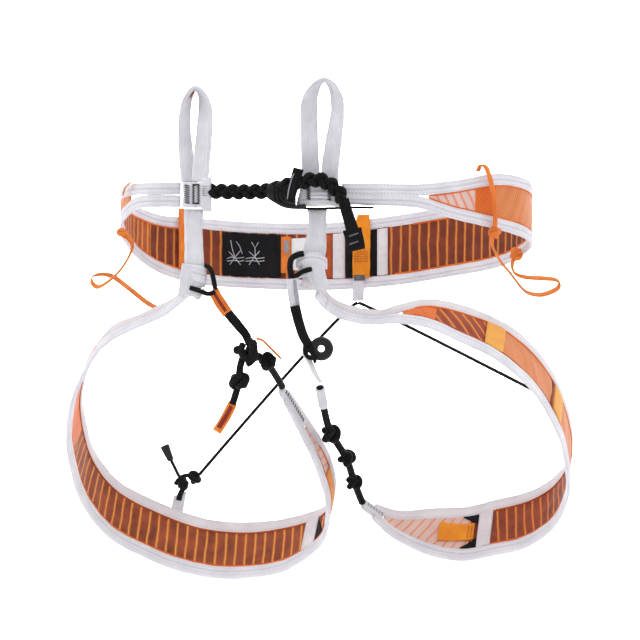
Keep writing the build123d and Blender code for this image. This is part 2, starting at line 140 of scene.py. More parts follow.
def waves(s, seed, *sizes):
    """A soft irregular wave along s, in metres; sizes are (length, height) pairs in millimetres."""
    total = 0.0
    for k, (length, height) in enumerate(sizes):
        phase = seed * 2.3 + k * 1.7
        total += height * sin(2 * pi * s / (length * MM) + phase + 0.8 * sin(s * 31 + seed))
    return total * MM


def belt_rows(first, last, edges, rate=12, inward=0.0):
    """Rows of a belt strip: centre, across, outward, width, all in metres."""
    rows = []
    count = max(2, round((last - first) * rate))
    for step in range(count + 1):
        t = first + (last - first) * step / count
        x, y, low, high = between(BELT, t)
        run = between(BELT, t + 0.02) - between(BELT, t - 0.02)
        run = unit((run[0], run[1], 0))
        out = np.array((-run[1], run[0], 0))
        bottom, top = edges(low, high)
        centre = np.array((x, y, (bottom + top) / 2)) - out * inward
        rows.append((centre * MM, np.array((0, 0, 1.0)), out, (top - bottom) * MM, t))
    return rows


def leg_rows(stations, middle, first, last, place, rate=12, outward=0.0):
    """Rows along a leg loop, from its station first to its station last."""
    rows = []
    count = max(2, round((last - first) * rate))
    for step in range(count + 1):
        t = first + (last - first) * step / count
        row = between(stations, t)
        tilt = radians(row[4])
        across = unit((0.15, cos(tilt), sin(tilt)))
        run = between(stations, t + 0.02)[:3] - between(stations, t - 0.02)[:3]
        run = unit(run - across * run.dot(across))
        out = np.cross(run, across)
        if out.dot(row[:3] - np.array(middle)) < 0:
            out = -out
        shift, span = place(row[3], t)
        rows.append(((row[:3] + across * shift + out * outward) * MM, across, out, span * MM, t))
    return rows


def path_rows(points, across, width, rate=6):
    """Rows of a tape through points, with its width along one direction or one per station."""
    rows = []
    count = (len(points) - 1) * rate
    for step in range(count + 1):
        t = (len(points) - 1) * step / count
        centre = between([p[:3] for p in points], t)
        run = between([p[:3] for p in points], t + 0.02) - between([p[:3] for p in points], t - 0.02)
        if across is None:
            turn = radians(between(points, t)[3])
            side = np.array((cos(turn), sin(turn), 0))
        else:
            side = unit(across)
        run = unit(run - side * run.dot(side))
        span = width(t) if callable(width) else width
        rows.append((centre * MM, side, np.cross(run, side), span * MM, t))
    return rows


# ---- meshes


def mesh_object(name, verts, faces, uvs=None, materials=(), slots=None):
    """A smooth mesh with its UVs per corner and its material slot per face."""
    mesh = bpy.data.meshes.new(name)
    mesh.from_pydata([tuple(v) for v in verts], [], faces)
    if uvs is not None:
        layer = mesh.uv_layers.new(name="UVMap")
        for face, face_uvs in zip(mesh.polygons, uvs):
            for k, uv in zip(face.loop_indices, face_uvs):
                layer.data[k].uv = uv
    for material in materials:
        mesh.materials.append(material)
    if slots is not None:
        mesh.polygons.foreach_set("material_index", slots)
    mesh.polygons.foreach_set("use_smooth", [True] * len(mesh.polygons))
    mesh.update()
    obj = bpy.data.objects.new(name, mesh)
    bpy.context.collection.objects.link(obj)
    return obj


def skin(name, rings, around, along, materials, cap=True):
    """A closed skin over rings of points; around and along are the rings' coordinates for UVs."""
    rings = np.array(rings)
    n, m = rings.shape[:2]
    verts = rings.reshape(-1, 3)
    faces = []
    uvs = []
    for i in range(n - 1):
        for j in range(m):
            k = (j + 1) % m
            faces.append((i * m + j, i * m + k, (i + 1) * m + k, (i + 1) * m + j))
            near, far = around[i], around[i + 1]
            uvs.append(
                ((along[i], near[j]), (along[i], near[j + 1]), (along[i + 1], far[j + 1]), (along[i + 1], far[j]))
            )
    if cap:
        for i, order in ((0, range(m - 1, -1, -1)), (n - 1, range(m))):
            faces.append(tuple(i * m + j for j in order))
            uvs.append([(along[i], around[i][j]) for j in order])
    return mesh_object(name, verts, faces, uvs, materials)


def distances(points):
    """How far along the line each of its points is."""
    marks = [0.0]
    for a, b in zip(points, points[1:]):
        marks.append(marks[-1] + float(np.linalg.norm(b - a)))
    return marks


def tape(name, rows, thick, material, seed=1.0, wave=0.25, facets=20, power=5.0, soft=2.6, ridges=0):
    """A flat tape with folded, slightly crowned edges; ridges are folds along it."""
    along = distances([row[0] for row in rows])
    angles = [2 * pi * k / facets + pi / facets for k in range(facets)]
    rings = []
    around = []
    last = len(rows) - 1
    for i, (s, (centre, across, out, width, t)) in enumerate(zip(along, rows)):
        half = width / 2 * (1 + 0.02 * sin(s * 410 + seed * 3))
        flat = thick * MM / 2
        if i in (0, last):
            half *= 0.97
            flat *= 0.7
        lift = waves(s, seed, (47, wave), (19, wave * 0.35))
        ring = []
        marks = []
        for angle in angles:
            c = cos(angle)
            d = sin(angle)
            a = half * np.sign(c) * abs(c) ** (2 / power)
            o = flat * np.sign(d) * abs(d) ** (2 / soft)
            f = a / half
            if ridges:
                o *= 1 + 0.16 * cos(f * pi * ridges) - 0.1 * f * f
            ring.append(centre + across * a + out * (o + lift))
            marks.append(a + (0.05 if d > 0 else 0))
        marks.append(marks[0])
        rings.append(ring)
        around.append(marks)
    return skin(name, rings, around, along, [material])


def panel(name, rows, thick, materials, zone, edge, seed, puff, points=14):
    """A thin sheet; zone(t, face) gives the material's number, and face is 0 inside and 1 outside."""
    along = distances([row[0] for row in rows])
    rings = []
    around = []
    for s, (centre, across, out, width, t) in zip(along, rows):
        half = width / 2 + edge * MM
        ring = []
        marks = []
        for side in (-1, 1):
            for k in range(points):
                f = k / (points - 1)
                a = half * (2 * f - 1) * (1 if side < 0 else -1)
                q = 1 - (a / half) ** 2
                lift = q * (puff * MM * 0.5 + waves(s + a * 0.4, seed, (31, puff), (8.6, puff * 0.35)))
                ring.append(centre + across * a + out * (side * thick * MM / 2 + lift))
                marks.append(a)
        marks.append(marks[0])
        rings.append(ring)
        around.append(marks)
    obj = skin(name, rings, around, along, materials)
    many = 2 * points
    for face in obj.data.polygons[: (len(rows) - 1) * many]:
        i, j = divmod(face.index, many)
        t = (rows[i][4] + rows[i + 1][4]) / 2
        face.material_index = zone(t, 0 if j < points - 1 else 1)
    for face in obj.data.polygons[(len(rows) - 1) * many:]:
        face.material_index = zone(rows[0][4], 1)
    return obj


def tube_rings(points, radius, count):
    """Rings of a round tube along points, carried along without twist."""
    rings = []
    run = unit(points[1] - points[0])
    side = unit(np.cross(run, (0.3, 0.2, 1) if abs(run[2]) < 0.9 else (1, 0, 0)))
    for i, p in enumerate(points):
        a = points[max(i - 1, 0)]
        b = points[min(i + 1, len(points) - 1)]
        run = unit(b - a)
        side = unit(side - run * side.dot(run))
        other = np.cross(run, side)
        r = radius(i) if callable(radius) else radius
        rings.append(
            [p + (side * cos(2 * pi * k / count) + other * sin(2 * pi * k / count)) * r for k in range(count)]
        )
    return rings


def tube(name, points, radius, material, count=12, cap=True):
    """A round tube along a line; radius may be a function of the point's number."""
    rings = tube_rings(points, radius, count)
    along = distances(points)
    around = [[0.02 * k / count for k in range(count + 1)]] * len(points)
    return skin(name, rings, around, along, [material], cap=cap)


def join(name, parts):
    """Join several meshes into one object that keeps each one's materials."""
    verts = []
    faces = []
    uvs = []
    materials = []
    slots = []
    for part in parts:
        mesh = part.data
        base = len(verts)
        verts += [tuple(v.co) for v in mesh.vertices]
        layer = mesh.uv_layers[0].data if mesh.uv_layers else None
        table = []
        for material in mesh.materials:
            if material not in materials:
                materials.append(material)
            table.append(materials.index(material))
        for face in mesh.polygons:
            faces.append(tuple(base + v for v in face.vertices))
            uvs.append([tuple(layer[k].uv) if layer else (0, 0) for k in face.loop_indices])
            slots.append(table[face.material_index] if table else 0)
    for part in parts:
        mesh = part.data
        bpy.data.objects.remove(part)
        bpy.data.meshes.remove(mesh)
    return mesh_object(name, verts, faces, uvs, materials, slots)


def route_line(route):
    """Points along the smooth line whose control points are the route's, in metres."""
    data = bpy.data.curves.new("route", "CURVE")
    data.dimensions = "3D"
    data.resolution_u = 16
    spline = data.splines.new("NURBS")
    spline.points.add(len(route) - 1)
    for point, place in zip(spline.points, route):
        point.co = (place[0] * MM, place[1] * MM, place[2] * MM, 1)
    spline.order_u = 3
    spline.use_endpoint_u = True
    obj = bpy.data.objects.new("route", data)
    bpy.context.collection.objects.link(obj)
    bpy.context.view_layer.update()
    mesh = bpy.data.meshes.new_from_object(obj)
    line = [np.array(v.co) for v in mesh.vertices]
    bpy.data.meshes.remove(mesh)
    bpy.data.objects.remove(obj)
    bpy.data.curves.remove(data)
    return line


def spaced(line, step):
    """The same line with its points evenly spaced."""
    marks = distances(line)
    count = max(2, round(marks[-1] / step))
    wanted = np.linspace(0, marks[-1], count + 1)
    axes = [np.interp(wanted, marks, [p[k] for p in line]) for k in range(3)]
    return [np.array(p) for p in zip(*axes)]


# ---- materials


def linear(*colours):
    """Colours from 0 to 255 per channel, as the shader wants them."""
    def one(v):
        v = v / 255
        return v / 12.92 if v <= 0.04045 else ((v + 0.055) / 1.055) ** 2.4
    return [(one(r), one(g), one(b), 1) for r, g, b in colours]


def shaded(colour, share, lift=0.0):
    """The colour made darker or lighter."""
    return tuple(min(1, share * c + lift) for c in colour[:3]) + (1,)


class Paint:
    """One procedural material. Sockets and plain values go into its nodes alike."""

    def __init__(self, name, rough=0.7, sheen=0.0, gloss=0.3):
        self.material = bpy.data.materials.new(name)
        self.material.use_nodes = True
        self.tree = self.material.node_tree
        self.shader = self.tree.nodes["Principled BSDF"]
        self.shader.inputs["Roughness"].default_value = rough
        self.shader.inputs["Specular IOR Level"].default_value = gloss
        self.shader.inputs["Sheen Weight"].default_value = sheen
        self.coord = self.add("ShaderNodeTexCoord")

    def add(self, kind, values=(), **options):
        """A node with these inputs and settings."""
        node = self.tree.nodes.new(kind)
        for key, value in options.items():
            setattr(node, key, value)
        for key, value in dict(values).items():
            if hasattr(value, "is_linked"):
                self.tree.links.new(value, node.inputs[key])
            else:
                node.inputs[key].default_value = value
        return node

    def math(self, kind, a, b=None):
        values = {0: a} if b is None else {0: a, 1: b}
        return self.add("ShaderNodeMath", values, operation=kind).outputs[0]

    def times(self, a, b):
        return self.math("MULTIPLY", a, b)

    def plus(self, a, b):
        return self.math("ADD", a, b)

    def minus(self, a, b):
        return self.math("SUBTRACT", a, b)

    def uv(self):
        """The sockets of u and v, in metres."""
        split = self.add("ShaderNodeSeparateXYZ", {0: self.coord.outputs["UV"]})
        return split.outputs[0], split.outputs[1]

    def noise(self, scale, detail):
        values = {"Vector": self.coord.outputs["Object"], "Scale": scale, "Detail": detail, "Roughness": 0.55}
        return self.add("ShaderNodeTexNoise", values).outputs[0]

    def mix(self, factor, a, b):
        return self.add("ShaderNodeMix", {0: factor, 6: a, 7: b}, data_type="RGBA").outputs[2]

    def ramp(self, value, low, high):
        return self.add("ShaderNodeMapRange", {0: value, 1: low, 2: high, 3: 0.0, 4: 1.0}, clamp=True).outputs[0]

    def wave(self, value, period, phase=0.0):
        """A sine from 0 to 1 of a value in metres."""
        turns = self.times(value, 2 * pi / period)
        return self.plus(self.times(self.math("SINE", self.plus(turns, phase)), 0.5), 0.5)

    def colour(self, socket):
        self.tree.links.new(socket, self.shader.inputs["Base Color"])

    def bump(self, height, distance, strength):
        node = self.add("ShaderNodeBump", {"Strength": strength, "Distance": distance, "Height": height})
        self.tree.links.new(node.outputs[0], self.shader.inputs["Normal"])


def weave(paint, u, v, pitch):
    """A plain weave: two sets of threads that pass over each other."""
    warp = paint.wave(u, pitch)
    weft = paint.wave(v, pitch)
    over = paint.wave(paint.plus(u, v), pitch * 2)
    return paint.plus(paint.times(warp, over), paint.times(weft, paint.minus(1.0, over)))


def tape_paint(name, light, dark, pitch=0.0009, rib=0.0, sheen=0.15, seam=0.0, row=0.0, gloss=0.3):
    """Woven tape; seam darkens a line along its middle, row puts a line of stitches that far from it."""
    light, dark = linear(light, dark)
    paint = Paint(name, rough=0.75, sheen=sheen, gloss=gloss)
    u, v = paint.uv()
    cloud = paint.noise(55, 4)
    fine = paint.noise(900, 2)
    cloth = weave(paint, u, v, pitch)
    base = paint.mix(paint.ramp(cloud, 0.3, 0.7), dark, light)
    shade = paint.mix(paint.times(cloth, 0.16), base, shaded(dark, 0.72))
    height = paint.plus(paint.times(cloth, 0.5), paint.times(fine, 0.4))
    if rib:
        height = paint.plus(height, paint.times(paint.wave(v, rib), 1.4))
    if seam or row:
        back = paint.math("GREATER_THAN", v, 0.02)
        place = paint.math("ABSOLUTE", paint.minus(v, paint.times(back, 0.05)))
    if seam:
        line = paint.ramp(place, 0.0011, 0.0002)
        shade = paint.mix(paint.times(line, seam), shade, shaded(dark, 0.45))
        height = paint.minus(height, paint.times(line, 3.0))
    if row:
        near = paint.ramp(paint.math("ABSOLUTE", paint.minus(place, row)), 0.0006, 0.0002)
        dash = paint.math("LESS_THAN", paint.math("FRACT", paint.math("DIVIDE", u, 0.0027)), 0.62)
        stitch = paint.times(near, dash)
        shade = paint.mix(paint.times(paint.minus(near, stitch), 0.35), shade, shaded(dark, 0.5))
        height = paint.plus(height, paint.times(stitch, 1.6))
    paint.colour(shade)
    paint.bump(height, 0.00025, 0.55)
    return paint.material


MESH = 0.0009  # from one thread of the panels' mesh to the next, in metres


def stripe_paint(name, dark, mid, bright, period, slant=0.0, width=0.17, wander=0.0007):
    """Mesh fabric crossed by bright bands; slant turns the bands along the strip."""
    dark, mid, bright = linear(dark, mid, bright)
    paint = Paint(name, rough=0.7, sheen=0.15)
    u, v = paint.uv()
    wobble = paint.times(paint.minus(paint.noise(38, 3), 0.5), wander * 4)
    place = paint.plus(u, wobble)
    if slant:
        place = paint.plus(place, paint.times(v, slant))
    turn = paint.math("FRACT", paint.math("DIVIDE", place, period))
    off = paint.math("ABSOLUTE", paint.minus(turn, 0.5))
    band = paint.ramp(off, width * 0.62, width * 0.30)
    halo = paint.ramp(off, width * 1.25, width * 0.5)
    cells = paint.times(paint.wave(u, MESH), paint.wave(v, MESH))
    cloud = paint.noise(70, 3)
    ground = paint.mix(paint.ramp(cloud, 0.25, 0.75), dark, mid)
    ground = paint.mix(paint.times(cells, 0.4), ground, shaded(dark, 0.45))
    soft = paint.mix(paint.times(halo, 0.26), ground, bright)
    strand = paint.mix(paint.times(paint.noise(420, 2), 0.5), bright, mid)
    paint.colour(paint.mix(band, soft, strand))
    height = paint.plus(paint.times(band, 1.2), paint.times(cells, -0.6))
    paint.bump(height, 0.0003, 0.6)
    return paint.material


def line_paint(name, light, dark, period, amount=0.5):
    """Smooth face fabric with fine slanted lines."""
    light, dark = linear(light, dark)
    paint = Paint(name, rough=0.6, sheen=0.2)
    u, v = paint.uv()
    wobble = paint.times(paint.minus(paint.noise(30, 3), 0.5), 0.003)
    place = paint.plus(paint.plus(u, paint.times(v, 0.5)), wobble)
    line = paint.wave(place, period)
    broad = paint.wave(place, period * 5.3, 1.0)
    cloud = paint.ramp(paint.noise(26, 3), 0.3, 0.75)
    base = paint.mix(paint.times(paint.times(line, line), amount), light, dark)
    base = paint.mix(paint.times(paint.times(broad, cloud), 0.45), base, dark)
    paint.colour(base)
    cloth = weave(paint, u, v, 0.0007)
    paint.bump(paint.plus(line, paint.times(cloth, 0.5)), 0.0002, 0.5)
    return paint.material


def cord_paint(name, light, dark, pitch=0.0016):
    """A braided sheath: two sets of strands that wind opposite ways."""
    light, dark = linear(light, dark)
    paint = Paint(name, rough=0.62, sheen=0.04, gloss=0.14)
    u, v = paint.uv()
    turn = paint.times(v, 0.16)
    one = paint.wave(paint.plus(u, turn), pitch)
    two = paint.wave(paint.minus(u, turn), pitch)
    braid = paint.times(one, two)
    fuzz = paint.noise(700, 3)
    mixed = paint.mix(paint.times(braid, 0.8), dark, light)
    paint.colour(paint.mix(paint.times(fuzz, 0.35), mixed, dark))
    paint.bump(paint.plus(braid, paint.times(fuzz, 0.5)), 0.0003, 0.7)
    return paint.material


def plastic_paint(name, colour):
    """Moulded plastic with a fine grain."""
    colour = linear(colour)[0]
    paint = Paint(name, rough=0.35, gloss=0.35)
    grain = paint.noise(1400, 2)
    cloud = paint.noise(60, 3)
    paint.colour(paint.mix(paint.times(cloud, 0.5), colour, shaded(colour, 1.8, 0.004)))
    paint.bump(grain, 0.00008, 0.5)
    return paint.material


WHITE = tape_paint("white_tape", (234, 232, 238), (216, 213, 222), seam=0.3, row=0.0031)
WEB = tape_paint("white_webbing", (226, 225, 231), (204, 202, 211), pitch=0.0011, rib=0.0021)
BACK_WHITE = tape_paint("white_cross_tape", (228, 223, 227), (212, 205, 210), row=0.0034)
INNER_WARM = stripe_paint(
    "panel_inner_warm", (150, 62, 30), (186, 92, 40), (240, 150, 62), 0.0078, width=0.24, wander=0.0012
)
INNER = stripe_paint("panel_inner", (102, 39, 22), (138, 60, 33), (238, 146, 58), 0.0080)
LEG_INNER = stripe_paint("leg_panel_inner", (114, 48, 27), (176, 86, 46), (248, 160, 66), 0.0084, slant=0.11)
LEG_INNER_RIGHT = stripe_paint(
    "leg_panel_inner_right", (112, 43, 23), (164, 72, 38), (238, 138, 52), 0.0078, slant=-0.12
)
OUTER = line_paint("panel_outer", (222, 138, 80), (186, 90, 42), 0.0021, 0.65)
LEG_OUTER = stripe_paint(
    "leg_panel_outer", (140, 54, 24), (168, 76, 36), (236, 140, 64), 0.0098, slant=0.75, width=0.2
)
BRIGHT = line_paint("panel_bright", (226, 112, 34), (206, 88, 24), 0.0026)
VEIL = stripe_paint("panel_veil", (222, 184, 174), (230, 198, 186), (230, 118, 44), 0.0076, slant=0.5)
BELT_VEIL = stripe_paint(
    "belt_veil", (224, 188, 184), (232, 204, 198), (232, 112, 36), 0.0068, slant=-0.5, width=0.24
)
ORANGE = tape_paint("orange_tape", (242, 138, 52), (214, 104, 34), pitch=0.0008, rib=0.0016)
YELLOW = tape_paint("yellow_tape", (238, 172, 78), (226, 152, 58), pitch=0.0008)
AMBER = tape_paint("amber_webbing", (240, 150, 30), (222, 126, 16), pitch=0.0010)
DARK_ORANGE = tape_paint("dark_orange_tape", (196, 92, 36), (160, 66, 26), pitch=0.0008)
DARK_RED = tape_paint("dark_red_tape", (150, 50, 24), (116, 34, 18), pitch=0.0008)
GREY_WEB = tape_paint("grey_webbing", (176, 172, 178), (148, 144, 152), pitch=0.0009, rib=0.0016)
BLACK_WEB = tape_paint("black_webbing", (26, 25, 26), (12, 12, 12), pitch=0.0011, rib=0.0018, sheen=0.03, gloss=0.1)
BLACK_CLOTH = tape_paint("black_label_cloth", (29, 28, 31), (20, 19, 21), pitch=0.0007, sheen=0.03, gloss=0.1)
CARD = tape_paint("white_label_cloth", (238, 238, 236), (226, 226, 226), pitch=0.0006)
CORD = cord_paint("black_cord", (30, 29, 30), (4, 4, 4))
ELASTIC = cord_paint("elastic_cord", (44, 43, 42), (12, 12, 12), pitch=0.0011)
PLASTIC = plastic_paint("black_plastic", (11, 11, 12))
THREAD_BLACK = tape_paint("black_thread", (16, 15, 17), (8, 8, 9), pitch=0.0004, sheen=0.05)
THREAD_GREY = tape_paint("grey_thread", (170, 168, 174), (140, 138, 145), pitch=0.0004)
THREAD_ORANGE = tape_paint("orange_thread", (232, 120, 44), (206, 92, 30), pitch=0.0004)
GLYPH = tape_paint("pale_print", (214, 213, 218), (186, 185, 190), pitch=0.0005)


def put(obj, body, slot, *nodes):
    """Ride a finished piece on its body, in place of its CAD nodes."""
    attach(obj, body)
    if nodes:
        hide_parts(*nodes)
    return obj


def bridge(obj, node, start, end):
    """A piece that stands for a CAD node: hide the node and bake the piece's place into its mesh; start and end are
    not used.
    """
    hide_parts(node)
    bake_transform(obj)
    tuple(start)
    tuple(end)


# ---- shared forms

TAPE_W = 9.5  # the belt's edge tapes, in millimetres
LEG_W = 11.5  # the leg loops' edge tapes
SEAM = -0.9  # the gap where two tapes meet; below 0 they overlap
STITCH_STEP = 0.4  # from one point of a stitch to the next
FRONT_Y = -0.079  # the plane of the tie-in loops and risers, in metres



def upper_edges(low, high):
    return high - min(TAPE_W, (high - low - SEAM) / 2), high


def lower_edges(low, high):
    return low, low + min(TAPE_W, (high - low - SEAM) / 2)


def panel_edges(low, high):
    return low + TAPE_W - 0.6, high - TAPE_W + 0.6


def near_place(width, t):
    span = min(LEG_W, (width - SEAM) / 2)
    return -(width - span) / 2, span


def far_place(width, t):
    span = min(LEG_W, (width - SEAM) / 2)
    return (width - span) / 2, span


def leg_place(width, t):
    return 0, max(width - 2 * LEG_W + 1.2, 0.5)


def strip(name, points, across, width, thick, material, seed=1.0, wave=0.06, rate=6, **more):
    """A tape along a line of points, in millimetres."""
    return tape(name, path_rows(points, across, width, rate), thick, material, seed=seed, wave=wave, **more)


def thread(name, points, radius, material):
    """A thin thread along a line of points, in millimetres."""
    return tube(name, [np.array(p) * MM for p in points], radius * MM, material, count=6)


def rope(name, points, radius, material, count=12):
    """A cord along a smooth line through the points, in millimetres."""
    return tube(name, route_line(points), radius * MM, material, count=count)


def zigzag(name, x0, x1, z0, z1, y, count, material, radius=0.45):
    """A bar tack of close zigzag stitches on a face that looks to the front."""
    points = []
    for k in range(count + 1):
        z = z0 + (z1 - z0) * k / count
        points.append((x0 if k % 2 else x1, y + 0.15 * sin(k * 2.1), z))
    return thread(name, points, radius, material)


def dashes(name, line, out, length, gap, radius, material):
    """Separate stitches along a line of points, each a short arched thread."""
    points = spaced([np.array(p) for p in line], STITCH_STEP * MM)
    step = int((length + gap) / STITCH_STEP)
    size = int(length / STITCH_STEP)
    parts = []
    for k in range(0, len(points) - size, step):
        run = points[k:k + size + 1:2]
        if len(run) < 3:
            continue
        lifted = [p + out * (0.35 * MM * sin(pi * i / (len(run) - 1))) for i, p in enumerate(run)]
        parts.append(tube("stitch", lifted, radius * MM, material, count=5))
    return join(name, parts)


def knot(name, centre, size, axis, material, turn=0.0, stretch=1.1):
    """A tight overhand knot: a cord that winds round itself, about size in radius."""
    axis = unit(axis)
    side = unit(np.cross(axis, (0.2, 1, 0.1)))
    other = np.cross(axis, side)
    points = []
    count = 132
    for k in range(count + 1):
        a = 2 * pi * k / count
        ring = (0.42 + 0.25 * cos(3 * a)) * size
        x = ring * cos(2 * a + turn)
        y = ring * sin(2 * a + turn) * 0.92
        z = 0.34 * sin(3 * a) * size * stretch
        points.append((np.array(centre) + side * x + other * y + axis * z) * MM)
    return tube(name, points, size * 0.36 * MM, material, count=14, cap=False)


def braid(name, line, strand, wide, deep, lay, material, phase=0.0):
    """A flat three-strand braid that follows a line; lay is the length of one full turn."""
    points = spaced(line, 0.0009)
    frames = []
    for i, p in enumerate(points):
        run = unit(points[min(i + 1, len(points) - 1)] - points[max(i - 1, 0)])
        front = unit(np.array((0, -1.0, 0)) + run * run[1])
        frames.append((p, unit(np.cross(run, front)), front))
    parts = []
    for k in range(3):
        path = []
        girth = []
        for i, (p, side, front) in enumerate(frames):
            a = 2 * pi * (i * 0.0009 / (lay * MM)) + 2 * pi * k / 3 + phase
            swing = abs(sin(a)) ** 1.9 * (1 if sin(a) > 0 else -1)
            path.append(p + side * (wide * MM * swing) + front * (deep * MM * sin(2 * a)))
            girth.append((strand + 0.55 * sin(a) ** 4 - 0.3) * MM)
        parts.append(tube(name + str(k), path, lambda i, girth=girth: girth[i], material, count=12))
    return join(name, parts)


# ---- cords

lace_route = LACE + [(-29, -87, 28.4), (-20, -89, 31.2)] + LACE_END
lace_line = route_line(lace_route)
lace = braid("waist_braid", lace_line, 2.5, 3.5, 1.7, 25.6, CORD, 0.4)
put(lace, "waistbelt", "black_cord", "waist_lace", "lace_end")

left_line = route_line(KNOTTED_LEFT)
left_cord = tube("left_knotted_cord", spaced(left_line, 0.0012), 2.8 * MM, CORD, count=14)
left_ball = knot("left_cord_knot", (-40, -67.4, -103.6), 7.6, (0.9, 0.3, -0.5), CORD, 0.6, 1.3)
put(left_cord, "leg_left", "black_cord", "left_knot_cord")
put(left_ball, "leg_left", "black_cord")

right_line = route_line(KNOTTED_RIGHT)
right_cord = tube("right_knotted_cord", spaced(right_line, 0.0012), 3.0 * MM, CORD, count=14)
right_balls = [
    knot("right_cord_knot_low", (27.6, 22, -203.6), 7.4, (0.35, 0.55, -0.8), CORD, 0.2, 1.1),
    knot("right_cord_knot_mid", (21.6, 8, -183), 7.8, (0.7, 0.75, -1.0), CORD, 1.4, 1.1),
    knot("right_cord_knot_top", (8.6, -12, -162.6), 8.4, (0.3, 0.5, -1), CORD, 2.2, 1.35),
]
bridge(
    right_cord, "right_knot_cord", (0.0340, 0.0325, -0.2200),
    (0.0310, 0.0265, -0.2110)
)
for ball in right_balls:
    put(ball, "cord_right", "black_cord")
sleeve_points = spaced(right_line, 0.0015)[-14:]
sleeve_rings = tube_rings(sleeve_points, lambda i: (3.9 if i % 5 else 3.7) * MM, 16)
mouth = sleeve_points[-1]
for share, depth in ((0.96, -0.6), (0.72, -0.5), (0.64, 4.0), (0.02, 4.0)):
    run = unit(sleeve_points[-1] - sleeve_points[-2])
    sleeve_rings.append([mouth + (p - mouth) * share - run * depth * MM for p in sleeve_rings[13]])
sleeve = skin(
    "right_cord_sleeve", sleeve_rings, [[0.02 * k / 16 for k in range(17)]] * len(sleeve_rings),
    [0.0015 * k for k in range(len(sleeve_rings))], [WEB, PLASTIC]
)
for face in sleeve.data.polygons:
    if face.index >= 15 * 16:
        face.material_index = 1
put(sleeve, "cord_right", "white_webbing")

tail_route = [(-57.5, -79, -97.5)] + TAIL_LEFT
tail_line = route_line(tail_route)
tail_cord = tube("left_tail", spaced(tail_line, 0.0012), 2.8 * MM, CORD, count=14)
tail_ball = knot("left_tail_knot", (-61.3, -80, -118.4), 8.6, (0.15, 0, -1), CORD, 0.3, 1.1)
put(tail_cord, "tail_left", "black_cord", "left_tail_cord")
put(tail_ball, "tail_left", "black_cord")

for side, route, length, belt_end, leg_end in (
    ("left", ELASTIC_LEFT, 0.1965, -1, 0),
    ("right", ELASTIC_RIGHT, 0.1925, 0, -1),
):
    line = route_line(route)
    elastic = tube("elastic_line_" + side, spaced(line, 0.0025), 1.45 * MM, ELASTIC, count=10)
    start = tuple(line[belt_end])
    bridge(elastic, "elastic_" + side, start, tuple(line[leg_end]))
    tuple(start)

# the knot that ties the left elastic to its tab, and the stopper on the short end
elastic_knot = join("left_elastic_bow", [
    knot("k1", (-105.6, 84, -204.6), 6.4, (1, 0.2, 0.5), ELASTIC, 0.2, 1.2),
    knot("k2", (-115.6, 84, -209.6), 6.2, (1, 0.3, 0.4), ELASTIC, 1.0, 1.2),
    rope("k3", [(-113, 83, -211), (-117.5, 82.5, -216), (-118.8, 83, -223.5)], 2.4, ELASTIC),
    rope(
        "k4", [(-104, 83, -205), (-108, 80, -202.4), (-114, 80, -202.6), (-119, 81, -205.4), (-121.6, 83, -210)],
        1.8, ELASTIC
    ),
])
put(elastic_knot, "leg_left", "black_cord", "left_elastic_knot")
stopper_line = route_line([(-111.5, 83, -209.5), (-117.5, 83.5, -206), (-121.5, 84, -198), (-128.7, 84, -183)])
stopper_cord = tube("left_stopper_line", spaced(stopper_line, 0.001), 1.5 * MM, ELASTIC, count=10)
put(stopper_cord, "leg_left", "black_cord")
cone_line = spaced(
    [np.array(p) * MM for p in ((-125.4, 84, -190.4), (-128.4, 84, -183.6), (-131, 84, -177.4))], 0.0011
)
cone = tube(
    "left_stopper", cone_line,
    lambda i: (2.6 + 1.5 * (i / (len(cone_line) - 1)) ** 0.8 - (0.7 if i in (0, len(cone_line) - 1) else 0)) * MM,
    PLASTIC, count=18
)
put(cone, "leg_left", "black_plastic")

# ---- waist belt

for side, edges, seed in (("upper", upper_edges, 1.3), ("lower", lower_edges, 2.1)):
    binding = tape(side + "_binding", belt_rows(0.5, 20.84, edges), 3.0, WHITE, seed=seed, power=4.4)
    put(binding, "waistbelt", "white_tape", "belt_" + side + "_tape")


def belt_zone(t, face):
    """The number of the panel material at station t; face 0 is the inside."""
    if t > 17.5:
        return 3
    if face == 0:
        return 0 if t > 6.4 else 1
    if t > 17.05:
        return 4
    return 2


sheet = panel(
    "belt_sheet", belt_rows(2.4, 18.75, panel_edges, rate=18), 1.5, [INNER, INNER_WARM, OUTER, BELT_VEIL, BRIGHT],
    belt_zone, edge=0.3, seed=0.7, puff=0.35
)
put(sheet, "waistbelt", "mesh_panel", "belt_panel")


def belt_edge(first, last, upper, seed, gap=0.2, half=0.75, thick=0.9, inward=0.9):
    """A line along the belt panel's upper or lower edge; inward is below 0 on its outer face."""
    def edges(low, high):
        line = high - TAPE_W - gap if upper else low + TAPE_W + gap
        return line - half, line + half
    rows = belt_rows(first, last, edges, inward=inward)
    return tape("edge", rows, thick, THREAD_ORANGE, seed=seed, facets=10, wave=0.1)


edge_parts = [
    belt_edge(2.6, 8.0, False, 1), belt_edge(2.6, 7.4, True, 2),
    belt_edge(11.0, 17.6, False, 3), belt_edge(11.3, 17.6, True, 4),
]
put(join("belt_sheet_edges", edge_parts), "waistbelt", "orange_tape")
edge_parts = [belt_edge(14.8, 18.7, upper, 5 + k, 0.1, 0.6, 0.8, -0.95) for k, upper in enumerate((True, False))]
put(join("belt_outer_edges", edge_parts), "waistbelt", "orange_tape")


def back_station(x):
    """The belt station at the back whose x is the one given."""
    low = 7.0
    high = 14.0
    for _ in range(24):
        middle = (low + high) / 2
        if between(BELT, middle)[0] < x:
            low = middle
        else:
            high = middle
    return low


def back_y(x, off=0.0):
    return between(BELT, back_station(x))[1] - off


